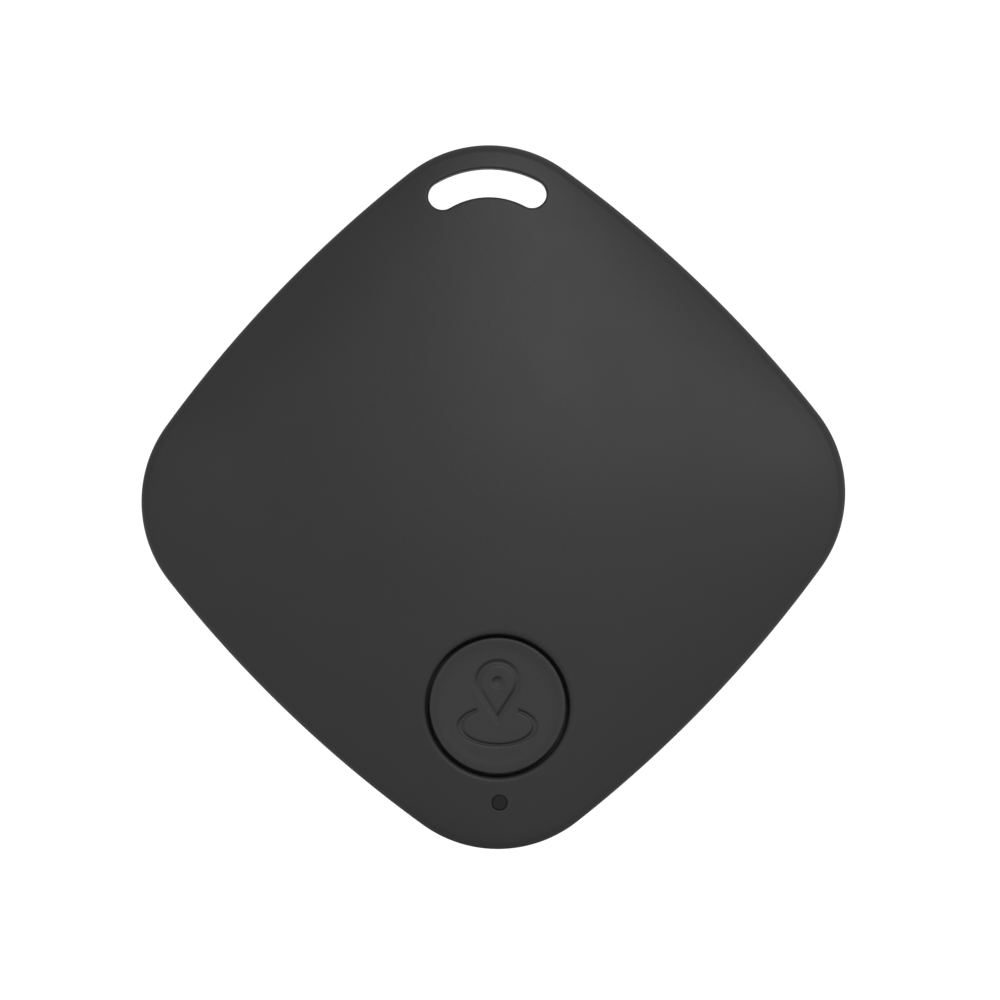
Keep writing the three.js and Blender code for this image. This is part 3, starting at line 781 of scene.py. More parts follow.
LEE_SIDE = Vector((0.25, -0.97))  # the way that the engraved walls with painted shade face
LEE_SHADE = 0.75
FOOT_SHADE = 0.45  # least painted shade on the lower half of an engraved wall
# painted shade in the button's dished rim
RIM_SHADE = 0.16
RIM_FADE = 0.08  # width over which the rim's shade ends
PAINTED_LIGHT_TONE = 1.45  # tone of the painted light on the other walls, as a share of the button's own


def pin_loop(radius, tip_y, inset, side=22, turns=84):
    """The pictogram's map pin moved inwards, from its tip anticlockwise round its head."""
    lean = math.asin(radius / (PIN_HEAD_Y - tip_y))
    radius -= inset
    tip_y = PIN_HEAD_Y - radius / math.sin(lean)
    right = polar(radius, -lean, (0, PIN_HEAD_Y))
    left = (-right[0], right[1])
    points = [(right[0] * i / side, tip_y + (right[1] - tip_y) * i / side) for i in range(side)]
    points += arc((0, PIN_HEAD_Y), radius, -lean, math.pi + lean, turns)
    points += [(left[0] * (1 - i / side), left[1] + (tip_y - left[1]) * i / side) for i in range(side)]
    return points


def ground_loop(inset, steps=110, end_steps=5):
    """The open ellipse under the pin, as one band with square ends, moved inwards."""
    sides = []
    for (half_width, half_depth), move in ((GROUND_OUTER, -inset), (GROUND_INNER, inset)):
        opening = math.asin((GROUND_GAP + inset) / (half_width + move))
        start = QUARTER_TURN + opening
        turns = [start + (math.tau - 2 * opening) * i / steps for i in range(steps + 1)]
        wide, deep = half_width + move, half_depth + move
        sides.append([(wide * math.cos(t), GROUND_Y + deep * math.sin(t)) for t in turns])
    outer, inner = sides[0], sides[1][::-1]
    ends = [between(outer[-1], inner[0], end_steps), between(inner[-1], outer[0], end_steps)]
    return outer + ends[0] + inner + ends[1]


def between(start, end, steps):
    """Evenly spaced points strictly between two points."""
    shares = [step / steps for step in range(1, steps)]
    return [(start[0] + (end[0] - start[0]) * t, start[1] + (end[1] - start[1]) * t) for t in shares]


def on_button(loop):
    """A loop of the pictogram, turned with the cap and moved to its place."""
    cos, sin = math.cos(CAP_TURN), math.sin(CAP_TURN)
    return [(x * cos - y * sin, x * sin + y * cos + BUTTON_Y) for x, y in loop]


def engraved_wall(skin, loop_at, slope):
    """A stroke's sloped wall, rounded at its top and foot. Returns the loop round its floor."""
    rings = []
    steps = 6
    for i in range(steps + 1):
        share = i / steps
        depth = ENGRAVING_DEPTH * smooth_step(share)
        here = on_button(loop_at(slope * share))
        rings.append([(x, y, button_height(x, y) - depth) for x, y in here])
    skin.rings(rings)
    return on_button(loop_at(slope))


def button_floor(x, y):
    return button_height(x, y) - ENGRAVING_DEPTH


def engrave(skin, edge, grid):
    """Closes the button's face inside an edge loop, with the pictogram sunk into it."""

    def pin(inset):
        return pin_loop(PIN_RADIUS, PIN_TIP_Y, inset)

    def pin_inner(inset):
        return pin_loop(PIN_INNER_RADIUS, PIN_INNER_TIP_Y, -inset)

    def dot(inset):
        return circle(PIN_DOT_RADIUS - inset, (0, PIN_HEAD_Y), 48)

    strokes = (pin, ground_loop, pin_inner, dot)
    near = [(x, y, 0.09) for stroke in strokes for x, y in on_button(stroke(-0.1))]
    inside = thinned(near + [(x, y, 0.2) for x, y in grid])
    face = [edge, on_button(pin(0)), on_button(ground_loop(0))]
    island = [on_button(pin_inner(0)), on_button(dot(0))]
    for loops in (face, island):
        skin.sheet(loops, clear_of(inside, loops), button_height)
    ground_floor = engraved_wall(skin, ground_loop, GROUND_SLOPE)
    strokes = (pin, pin_inner, dot)
    pin_floor, island_foot, dot_floor = [engraved_wall(skin, stroke, PIN_SLOPE) for stroke in strokes]
    for loops in ([pin_floor, island_foot], [ground_floor], [dot_floor]):
        skin.sheet(loops, [], button_floor)


def button():
    """A cap with a flange that keeps it in its hole and a stem that reaches the switch."""
    skin = Skin()
    middle = (0, BUTTON_Y)
    inner_face = 3.05
    radii = [BUTTON_RADIUS - inset for inset in rolled_insets(BUTTON_ROUND, BUTTON_ROUND, 6)]
    radii += [BUTTON_RADIUS - BUTTON_ROUND - 0.05 * step for step in range(1, 16)]
    radii += [3.35, 3.2, inner_face]
    below = [
        (STEM_RADIUS, STEM_BOTTOM),
        (STEM_RADIUS, FLANGE_BOTTOM),
        (FLANGE_RADIUS, FLANGE_BOTTOM),
        (FLANGE_RADIUS, FLANGE_TOP),
        (BUTTON_RADIUS, FLANGE_TOP),
    ]
    rings = [at_height(circle(radius, middle), height) for radius, height in below]
    rings += [at_height(circle(radius, middle), button_height) for radius in radii]
    skin.rings(rings)
    skin.sheet([circle(STEM_RADIUS, middle)], [], STEM_BOTTOM)
    engrave(skin, circle(inner_face, middle), hex_grid(inner_face, 0.22, middle))
    cap = skin.make("push_button")
    mark(cap, "edge", button_edge)
    # painted shade in the button's gap, its dished rim and its engraved walls that face down
    mark(cap, "shade", button_shade)
    # painted light: a paler tone on the engraved walls that face up or sideways
    mark(cap, "painted_light", button_painted_light)
    return cap


def clear_of(points, loops, gap=0.05):
    """The points that lie inside the first loop and outside the others, clear of all of them."""
    kept = []
    for x, y in points:
        if not inside_loop(x, y, loops[0]) or any(inside_loop(x, y, loop) for loop in loops[1:]):
            continue
        if all((x - a) ** 2 + (y - b) ** 2 > gap * gap for loop in loops for a, b in loop):
            kept.append((x, y))
    return kept


def button_edge(vertex):
    x, y, _ = vertex.co
    return 1 - smooth_step((BUTTON_RADIUS - math.hypot(x, y - BUTTON_Y)) / WEAR_REACH)


def button_shade(vertex):
    """Painted shade: in the gap round the cap, in the dished rim, and on the engraved walls that face
    down."""
    x, y, z = vertex.co
    out = math.hypot(x, y - BUTTON_Y)
    if out > BUTTON_RADIUS - WELD or button_height(x, y) - z > 2 * ENGRAVING_DEPTH:
        return GAP_SHADE
    wall, facing = engraved_side(vertex)
    past_dish = out - DISH_RADIUS - DISH_RUN
    rim = smooth_step((out - DISH_RADIUS) / DISH_RUN) * (1 - smooth_step(past_dish / RIM_FADE))
    return min(wall * LEE_SHADE * smooth_step(facing) + RIM_SHADE * rim, 1)


def button_painted_light(vertex):
    """Painted light: a paler tone on the engraved walls that face up or sideways."""
    wall, facing = engraved_side(vertex)
    return wall * (1 - smooth_step(facing))


def engraved_side(vertex):
    """How surely a point lies on an engraved wall, and how far the wall faces down."""
    x, y, z = vertex.co
    share = min(max((button_height(x, y) - z) / ENGRAVING_DEPTH, 0), 1)
    facing = vertex.normal.xy.normalized().dot(LEE_SIDE)
    wall = (4 * share * (1 - share)) ** 0.25
    return max(wall, FOOT_SHADE) if share > 0.5 else wall, facing


# ---------- status light ----------


def light_window():
    middle = (0, WINDOW_Y)
    below = [
        (WINDOW_FLANGE, WINDOW_BOTTOM),
        (WINDOW_FLANGE, WINDOW_FLANGE_TOP),
        (WINDOW_RADIUS, WINDOW_FLANGE_TOP),
    ]
    skin = Skin()
    rings = [at_height(circle(radius, middle, SMALL_ROUND_STEPS), height) for radius, height in below]
    radii = [WINDOW_RADIUS - inset for inset in rolled_insets(WINDOW_ROUND, WINDOW_ROUND, 5)]
    radii += [0.38, 0.28, 0.18, 0.08]
    rings += [at_height(circle(radius, middle, SMALL_ROUND_STEPS), window_height) for radius in radii]
    skin.rings(rings)
    skin.sheet([circle(radii[-1], middle, SMALL_ROUND_STEPS)], [], window_height)
    skin.sheet([circle(WINDOW_FLANGE, middle, SMALL_ROUND_STEPS)], [], WINDOW_BOTTOM)
    return skin.make("light_window")


# ---------- small parts: building them ----------


def lid(skin, ring):
    """Closes a ring with one face."""
    start = len(skin.points)
    skin.points += ring
    skin.faces.append(tuple(range(start, start + len(ring))))


def swept(name, path, section, across=None):
    """A closed solid: a section loop carried along a path. across fixes the direction of the
    section's x; without it the section turns as little as it can."""
    skin = Skin()
    rings = []
    side = across
    for i, here in enumerate(path):
        run = (path[min(i + 1, len(path) - 1)] - path[max(i - 1, 0)]).normalized()
        if across is None:
            side = run.orthogonal() if side is None else side - run * side.dot(run)
            side.normalize()
        up = run.cross(side)
        rings.append([tuple(here + side * x + up * y) for x, y in section])
    skin.rings(rings)
    lid(skin, rings[0])
    lid(skin, rings[-1])
    return skin.make(name)


def soft_path(points, radius, steps=6):
    """A path with its bends rounded."""
    soft = [points[0]]
    for before, here, after in zip(points, points[1:], points[2:]):
        reach = min(radius, (before - here).length / 2, (after - here).length / 2)
        start = here + (before - here).normalized() * reach
        end = here + (after - here).normalized() * reach
        for step in range(steps + 1):
            t = step / steps
            soft.append(start * (1 - t) ** 2 + here * (2 * t * (1 - t)) + end * t**2)
    return soft + [points[-1]]


def flowing_path(points, steps=10):
    """A smooth curve through all the points."""
    ends = [2 * points[0] - points[1]] + points + [2 * points[-1] - points[-2]]
    path = []
    for before, here, after, beyond in zip(ends, ends[1:], ends[2:], ends[3:]):
        for step in range(steps):
            t = step / steps
            straight = 2 * here + (after - before) * t
            bend = (2 * before - 5 * here + 4 * after - beyond) * t**2
            path.append((straight + bend + (beyond - before + 3 * (here - after)) * t**3) / 2)
    return path + [points[-1]]


def ribbon(path, width):
    """The outline of a flat strip along a plane path."""
    left, right = [], []
    for i, here in enumerate(path):
        run = Vector(path[min(i + 1, len(path) - 1)]) - Vector(path[max(i - 1, 0)])
        side = Vector((-run.y, run.x)).normalized() * width / 2
        left.append(tuple(Vector(here) + side))
        right.append(tuple(Vector(here) - side))
    return right + left[::-1]


def size_of(node):
    low, high = lying_box(node)
    return high - low, (low + high) / 2, low, high


def block(name, node, corner, chamfer, grow=0.0):
    """A CAD block with rounded corners and edges."""
    size, middle, low, high = size_of(node)
    loop = rounded_rectangle(size.x + 2 * grow, size.y + 2 * grow, corner, (middle.x, middle.y))
    return prism(name, loop, low.z, high.z + grow, chamfer)


def bar(name, low, high, chamfer=0.03):
    """A small block between two corners."""
    middle = ((low[0] + high[0]) / 2, (low[1] + high[1]) / 2)
    loop = rounded_rectangle(high[0] - low[0], high[1] - low[1], 1.5 * chamfer, middle, 3)
    return prism(name, loop, low[2], high[2], chamfer)


# ---------- cell ----------

CAN_LOW, CAN_HIGH = lying_box("battery_can")
CAN_RADIUS = (CAN_HIGH.x - CAN_LOW.x) / 2
CAP_LOW, CAP_HIGH = lying_box("battery_cap")
CAP_RADIUS = (CAP_HIGH.x - CAP_LOW.x) / 2
CAN_SKIN = 0.25
CAN_LIP = 0.75
SEAL_GAP = 0.05
PLUS_SPAN = 3.2
PLUS_BAR = 0.8
PLUS_DEPTH = 0.1


def cell_can():
    """The positive can, with a plus stamped into its flat back."""
    back, rim = CAN_LOW.z, CAN_HIGH.z
    profile = [
        (0, back),
        (CAN_RADIUS, back),
        (CAN_RADIUS, rim - 0.05),
        (CAN_RADIUS - CAN_LIP, rim),
        (CAN_RADIUS - CAN_LIP, rim - CAN_SKIN),
        (CAN_RADIUS - CAN_SKIN, rim - 0.5),
        (CAN_RADIUS - CAN_SKIN, back + CAN_SKIN),
        (0, back + CAN_SKIN),
    ]
    can = turned("cell_can", profile, 0.28)
    half, thin = PLUS_SPAN / 2, PLUS_BAR / 2
    middle = 0.55 * CAN_RADIUS
    low, high = back - PLUS_DEPTH, back + PLUS_DEPTH
    upright = bar("plus", (-thin, middle - half, low), (thin, middle + half, high), 0.06)
    level = bar("plus", (-half, middle - thin, low), (half, middle + thin, high), 0.06)
    return boolean(can, "DIFFERENCE", boolean(upright, "UNION", level))


def cell_gasket():
    low, high = lying_box("battery_gasket")
    inner = CAP_RADIUS + SEAL_GAP
    outer = CAN_RADIUS - CAN_SKIN - SEAL_GAP
    neck = CAN_RADIUS - CAN_LIP - SEAL_GAP
    shoulder = high.z - CAN_SKIN - SEAL_GAP
    outside = [(outer, low.z), (outer, shoulder - 0.25), (neck, shoulder), (neck, high.z)]
    profile = [(inner, low.z), *outside, (inner, high.z)]
    return turned("cell_gasket", profile, 0.04)


def cell_cap():
    """The negative cap, with the shallow step pressed into its face."""
    bottom, top = CAP_LOW.z, CAP_HIGH.z
    profile = [
        (0, bottom),
        (CAP_RADIUS, bottom),
        (CAP_RADIUS, top),
        (CAP_RADIUS - 0.9, top),
        (CAP_RADIUS - 1.0, top - 0.05),
        (0, top - 0.05),
    ]
    return turned("cell_cap", profile, 0.18)


# ---------- circuit board ----------

BOARD_CHAMFER = 0.03
COPPER = 0.03
TRACK = 0.22
VIA_RADIUS = 0.21
VIA_HOLE = 0.1

# Tracks along the board's ring: radius, then the angles in degrees that they run between.
FRONT_ARCS = [(radius, -71, -24) for radius in (11.3, 11.75, 12.2)]
FRONT_ARCS += [(radius, 197, 250) for radius in (11.3, 11.75)]
FRONT_ARCS += [(radius, 101, 163) for radius in (11.5, 12.0)]
FRONT_ARCS += [(11.5, 15, 78), (12.0, 15, 78), (15.6, -55, -24), (15.6, 205, 235)]
BACK_ARCS = [(radius, -155, -25) for radius in (11.3, 11.8, 12.3)]
BACK_ARCS += [(radius, 25, 155) for radius in (11.3, 11.8)]
BACK_ARCS += [(15.6, -15, 15), (16.1, -15, 15), (15.6, 165, 195), (16.1, 165, 195)]

# Tracks that run straight from place to place.
FRONT_RUNS = [
    [(0.8, -19.1), (2.2, -18.7), (3.1, -17.4)],
    [(-0.8, -19.1), (-3.4, -17.6), (-5.9, -14.6)],
    [(-17.9, 0.9), (-17.2, 1.4), (-15.9, 2.2)],
    [(-16.9, -0.3), (-16.4, -1.6), (-15.6, -2.1)],
    [(15, 1.9), (15, 2.6)],
    [(16.2, 1.9), (16.2, 3.4), (15.5, 3.9)],
    [(14.3, -1.9), (14.3, -3.0)],
    [(5.6, -14), (4.3, -13.2), (2.3, -12.6)],
    [(-5.6, -14), (-4.3, -13.2), (-2.3, -12.6)],
]
TEST_PADS = [(-3.2 + 1.6 * i, -16.2) for i in range(5)]


def board():
    holes = [circle(CELL_HOLE)]
    holes += [circle(POST_HOLE, polar(POST_REACH, turn), SMALL_ROUND_STEPS) for turn in POST_TURNS]
    blank = prism("board", outline(BOARD_INSET), BOARD_BACK, BOARD_FRONT, BOARD_CHAMFER, holes)
    beyond = rounded_rectangle(ACROSS_FLATS, ACROSS_FLATS, 1, (0, BOARD_TOP + HALF_FLATS))
    return boolean(blank, "DIFFERENCE", prism("beyond", beyond, BELOW, ABOVE))


def arc_path(radius, start, end):
    steps = max(int(abs(end - start) / 2), 6)
    turns = [math.radians(start + (end - start) * i / steps) for i in range(steps + 1)]
    return [polar(radius, turn) for turn in turns]


def tracks():
    """Copper tracks under the solder mask, on both faces."""
    made = []
    for arcs, runs, low in (
        (FRONT_ARCS, FRONT_RUNS, BOARD_FRONT - COPPER),
        (BACK_ARCS, [], BOARD_BACK - COPPER),
    ):
        paths = [arc_path(*settings) for settings in arcs]
        paths += [soft_path([Vector(point) for point in run], 0.5, 4) for run in runs]
        made += [prism("track", ribbon(path, TRACK), low, low + 2 * COPPER, 0.008) for path in paths]
    return merged("board_tracks", made)


def ring(name, inner, outer, bottom, top, soft, middle, steps=28):
    profile = [(inner, bottom), (outer, bottom), (outer, top), (inner, top)]
    return turned(name, profile, soft, middle, steps)


def vias():
    """Tinned rings where tracks pass through the board, and the row of test pads on its back."""
    made = []
    for arcs, low in ((FRONT_ARCS, BOARD_FRONT - COPPER), (BACK_ARCS, BOARD_BACK - 1.3 * COPPER)):
        for radius, start, end in arcs:
            for angle in (start, end):
                middle = polar(radius, math.radians(angle))
                made.append(ring("via", VIA_HOLE, VIA_RADIUS, low, low + 2.3 * COPPER, 0.02, middle))
    for middle in TEST_PADS:
        low = BOARD_BACK - COPPER
        profile = [(0, low), (0.5, low), (0.5, low + 2 * COPPER), (0, low + 2 * COPPER)]
        made.append(turned("test_pad", profile, 0.02, middle, 32))
    return merged("board_vias", made)


# ---------- chips and other soldered parts ----------

PASSIVES = {
    "capacitor_1": "x",
    "capacitor_2": "x",
    "capacitor_3": "x",
    "capacitor_4": "x",
    "resistor_1": "x",
    "resistor_2": "y",
    "resistor_3": "x",
}
END_SHARE = 0.24  # of a passive part's length, under each tinned end
END_SKIN = 0.02


def passive_ends():
    """Tinned ends of the capacitors and resistors, with a little solder at their feet."""
    made = []
    for node, way in PASSIVES.items():
        size, _, low, high = size_of(node)
        long = 0 if way == "x" else 1
        reach = size[long] * END_SHARE
        for side in (-1, 1):
            start, end = low.copy(), high.copy()
            if side < 0:
                end[long] = low[long] + reach
                start[long] -= END_SKIN
            else:
                start[long] = high[long] - reach
                end[long] += END_SKIN
            start[1 - long] -= END_SKIN
            end[1 - long] += END_SKIN
            end.z += END_SKIN
            made.append(bar("end", start, end))
            foot_low, foot_high = start.copy(), end.copy()
            foot_low[long] -= 0.14 if side < 0 else 0
            foot_high[long] += 0.14 if side > 0 else 0
            foot_high.z = low.z + 0.45 * size.z
            made.append(bar("solder", foot_low, foot_high, 0.06))
    return merged("tinned_ends", made)


def side_pins(node, count, width, reach, top, ways="xy"):
    """Flat pins in rows along the sides of a part."""
    size, middle, low, high = size_of(node)
    made = []
    for long in [way == "y" for way in ways]:
        across = 1 - long
        pitch = 0.78 * size[across] / max(count - 1, 1)
        for i in range(count):
            place = middle[across] + (i - (count - 1) / 2) * pitch
            for side in (-1, 1):
                edge = (low if side < 0 else high)[long]
                start, end = Vector((0, 0, low.z)), Vector((0, 0, low.z + top))
                start[across], end[across] = place - width / 2, place + width / 2
                start[long], end[long] = sorted((edge - side * 0.15, edge + side * reach))
                made.append(bar("pin", start, end, 0.02))
    return made


def leads():
    """The pins of the radio chip, transistor, inductor, lamp, antenna and switch."""
    made = side_pins("radio_chip", 7, 0.24, 0.12, 0.12)
    made += side_pins("buzzer_transistor", 2, 0.42, 0.45, 0.14, "y")
    made += side_pins("boost_inductor", 1, 1.9, 0.14, 0.3, "x")
    made += side_pins("status_lamp", 1, 0.6, 0.1, 0.16, "x")
    made += side_pins("chip_antenna", 1, 0.9, 0.1, 0.3, "y")
    made += side_pins("crystal", 2, 0.7, 0.08, 0.1, "x")
    made += side_pins("switch_base", 2, 0.55, 0.55, 0.12, "x")
    return merged("tinned_leads", made)


def radio_chip():
    chip = block("chip_body", "radio_chip", 0.12, 0.05)
    _, _, low, high = size_of("radio_chip")
    corner = (low.x + 0.55, high.y - 0.55)
    return boolean(chip, "DIFFERENCE", disc("pin_one", 0.2, high.z - 0.05, ABOVE, corner, 28))


def crystal_can():
    """A metal lid, seam-welded onto a ceramic tray."""
    size, middle, low, high = size_of("crystal")
    tray = prism("tray", rounded_rectangle(size.x, size.y, 0.2, middle.xy), low.z, high.z - 0.14, 0.03)
    lid_loop = rounded_rectangle(size.x - 0.22, size.y - 0.22, 0.3, middle.xy)
    return merged("crystal_can", [tray, prism("lid", lid_loop, high.z - 0.2, high.z, 0.05)])


def inductor():
    """A square ferrite core round a disc-shaped winding well."""
    core = block("inductor_core", "boost_inductor", 0.5, 0.09)
    _, middle, _, high = size_of("boost_inductor")
    return boolean(core, "DIFFERENCE", ring("well", 0.85, 1.02, high.z - 0.08, high.z + 1, 0, middle.xy, 48))


def lamp_body():
    """A white reflector frame round a domed drop of clear resin."""
    frame_block = block("lamp_body", "status_lamp", 0.06, 0.03)
    size, middle, _, high = size_of("status_lamp")
    loop = rounded_rectangle(size.x * 0.62, size.y * 0.7, 0.2, middle.xy)
    return boolean(frame_block, "DIFFERENCE", prism("cup", loop, high.z - 0.2, ABOVE))


def lamp_lens():
    size, middle, _, high = size_of("status_lamp")
    skin = Skin()
    levels = [(0.0, -0.24), (0.0, -0.04), (0.03, -0.015), (0.1, 0.0), (0.18, 0.006)]
    width, depth = size.x * 0.62, size.y * 0.7
    loops = [
        rounded_rectangle(width - move, depth - move, 0.2 - move / 3, middle.xy)
        for move, _ in levels
    ]
    rings = [at_height(loop, high.z + lift) for loop, (_, lift) in zip(loops, levels)]
    skin.rings(rings)
    lid(skin, rings[0])
    lid(skin, rings[-1])
    return skin.make("lamp_lens")


# ---------- switch ----------

SWITCH_MIDDLE = (0.0, BUTTON_Y)
WELL_RADIUS = 1.7
WELL_DEPTH = 0.5
SWITCH_OPENING = 1.0


def switch_base():
    base = block("switch_block", "switch_base", 0.25, 0.04)
    top = size_of("switch_base")[3].z
    return boolean(base, "DIFFERENCE", disc("well", WELL_RADIUS, top - WELL_DEPTH, ABOVE, SWITCH_MIDDLE))


def switch_cover():
    """The sheet-metal cover, with a tab bent down over each side of the base."""
    size, _, low, high = size_of("switch_cover")
    loop = rounded_rectangle(size.x, size.y, 0.28, SWITCH_MIDDLE)
    opening = circle(SWITCH_OPENING, SWITCH_MIDDLE, SMALL_ROUND_STEPS)
    plate = prism("switch_plate", loop, low.z, high.z, 0.04, [opening])
    half = size.x / 2
    tabs = []
    for side in (-1, 1):
        start, end = sorted((side * (half - 0.08), side * (half + 0.07)))
        tab_low = (start, BUTTON_Y - 0.7, low.z - 0.45)
        tab_high = (end, BUTTON_Y + 0.7, high.z - 0.05)
        tabs.append(bar("tab", tab_low, tab_high, 0.02))
    return boolean(plate, "UNION", *tabs)


def snap_dome():
    """A domed disc of spring sheet."""
    low, high = lying_box("switch_dome")
    radius = (high.x - low.x) / 2
    sheet = 0.08
    rise = high.z - low.z - sheet
    steps = 10
    under = [(radius * i / steps, low.z + rise * (1 - (i / steps) ** 2)) for i in range(steps + 1)]
    over = [(x, z + sheet) for x, z in reversed(under)]
    return turned("snap_dome", under + over, 0, SWITCH_MIDDLE, SMALL_ROUND_STEPS)


def plunger():
    low, high = lying_box("switch_plunger")
    foot = (high.x - low.x) / 2
    shaft = 0.9
    step = low.z + 0.12
    profile = [(0, low.z), (foot, low.z), (foot, step), (shaft, step), (shaft, high.z), (0, high.z)]
    return turned("switch_pin", profile, 0.1, SWITCH_MIDDLE, SMALL_ROUND_STEPS)


# ---------- contacts ----------

SHEET = 0.2
CONTACT_LIFT = 0.6
CONTACT_GAP = 0.05


def sheet_section(width):
    """The section of a strip of sheet, its edges slightly rounded."""
    return rounded_rectangle(width, SHEET, 0.05, steps=2)


def negative_spring():
    """A spring bridge over the cell, with a dimple in its middle that bears on the cap."""
    low, high = lying_box("negative_contact")
    bridge = CAP_HIGH.z + CONTACT_LIFT
    foot = BOARD_FRONT + SHEET / 2
    bearing = CAP_HIGH.z + CONTACT_GAP + SHEET / 2
    half = [(1.2, bearing), (2.6, bridge), (9.2, bridge), (11.0, foot), (high.x, foot)]
    bends = [(-x, z) for x, z in reversed(half)] + half
    path = soft_path([Vector((x, 0, z)) for x, z in bends], 0.4)
    return swept("negative_spring", path, sheet_section(high.y - low.y), Vector((0, 1, 0)))


def positive_clip():
    """A clip at the edge of the cell's hole, whose tongue bears on the can."""
    low, high = lying_box("positive_contact")
    tongue = CAN_RADIUS + CONTACT_GAP + SHEET / 2
    foot = BOARD_FRONT + SHEET / 2
    bends = [(tongue + 0.2, CAN_LOW.z + 0.4), (tongue, CAN_LOW.z + 1), (tongue + 0.15, foot), (high.y, foot)]
    path = soft_path([Vector((0, y, z)) for y, z in bends], 0.35)
    return swept("positive_clip", path, sheet_section(high.x - low.x), Vector((1, 0, 0)))


def solder_joints():
    """Fillets of solder along the feet of the two contacts, and drops on the wires' ends."""
    made = []
    z = BOARD_FRONT - 0.02
    for side in (-1, 1):
        corners = sorted_corners((side * 12.3, -1.35, z), (side * 12.75, 1.35, z + 0.2))
        made.append(bar("joint", *corners, 0.09))
    made.append(bar("joint", (-2.15, 12.8, z), (2.15, 13.25, z + 0.2), 0.09))
    for side in (-1, 1):
        made.append(drop((side * 6.1, 12.3), 0.42, BOARD_FRONT - 0.02, 0.34))
    for start, node in ((2.6, "sounder_ceramic"), (-3.7, "sounder_brass_disc")):
        made.append(drop((start, abs(start)), 0.42, lying_box(node)[0].z + 0.02, -0.3))
    return merged("solder_joints", made)


def sorted_corners(first, second):
    pairs = [sorted(pair) for pair in zip(first, second)]
    return [low for low, _ in pairs], [high for _, high in pairs]


def drop(middle, radius, base, height):
    """A drop of solder, standing up from its base or hanging down from it."""
    steps = 8
    turns = [QUARTER_TURN * i / steps for i in range(steps + 1)]
    profile = [(0, base)] + [(radius * math.cos(t) ** 0.8, base + height * math.sin(t)) for t in turns]
    profile[-1] = (0, base + height)
    return turned("drop", profile, 0, middle, 32)


# ---------- sounder ----------


def sounder_tape():
    low, high = lying_box("sounder_tape")
    radius = (high.x - low.x) / 2
    inner = (lying_box("sounder_ceramic")[1].x - lying_box("sounder_ceramic")[0].x) / 2
    return ring("tape_ring", inner, radius, low.z, high.z, 0.03, (0, 0), ROUND_STEPS)


def plate(name, node, soft):
    """A thin round plate."""
    low, high = lying_box(node)
    radius = (high.x - low.x) / 2
    profile = [(0, low.z), (radius, low.z), (radius, high.z), (0, high.z)]
    return turned(name, profile, soft)


def electrode():
    """The silvered face of the ceramic disc."""
    low, high = lying_box("sounder_ceramic")
    radius = (high.x - low.x) / 2 - 0.3
    profile = [(0, low.z - 0.012), (radius, low.z - 0.012), (radius, low.z + 0.02), (0, low.z + 0.02)]
    return turned("sounder_electrode", profile, 0.008)


def wire(name, side, start, bottom):
    """An insulated wire from the sounder to its pad on the board."""
    points = [
        (start, start, bottom - WIRE_RADIUS - 0.05),
        (4.6, 6.4, bottom - WIRE_RADIUS - 0.3),
        (5.6, 9.2, CAP_HIGH.z + WIRE_RADIUS + 0.4),
        (6.0, 11.0, BOARD_FRONT + WIRE_RADIUS + 0.4),
        (6.1, 12.2, BOARD_FRONT + WIRE_RADIUS + 0.05),
    ]
    path = flowing_path([Vector((side * x, y, z)) for x, y, z in points])
    return swept(name, path, circle(WIRE_RADIUS, steps=20))


# ---------- materials ----------

PLASTIC_SPECULAR = 0.5
GRAIN_FINE = 9.0  # grains per millimetre
GRAIN_COARSE = 2.6
CASE_TONE = 0.0355
BUTTON_TONE = 0.0425
CASE_ROUGHNESS = 0.42
CASE_GRAIN = 0.003
BUTTON_GRAIN = 0.0012


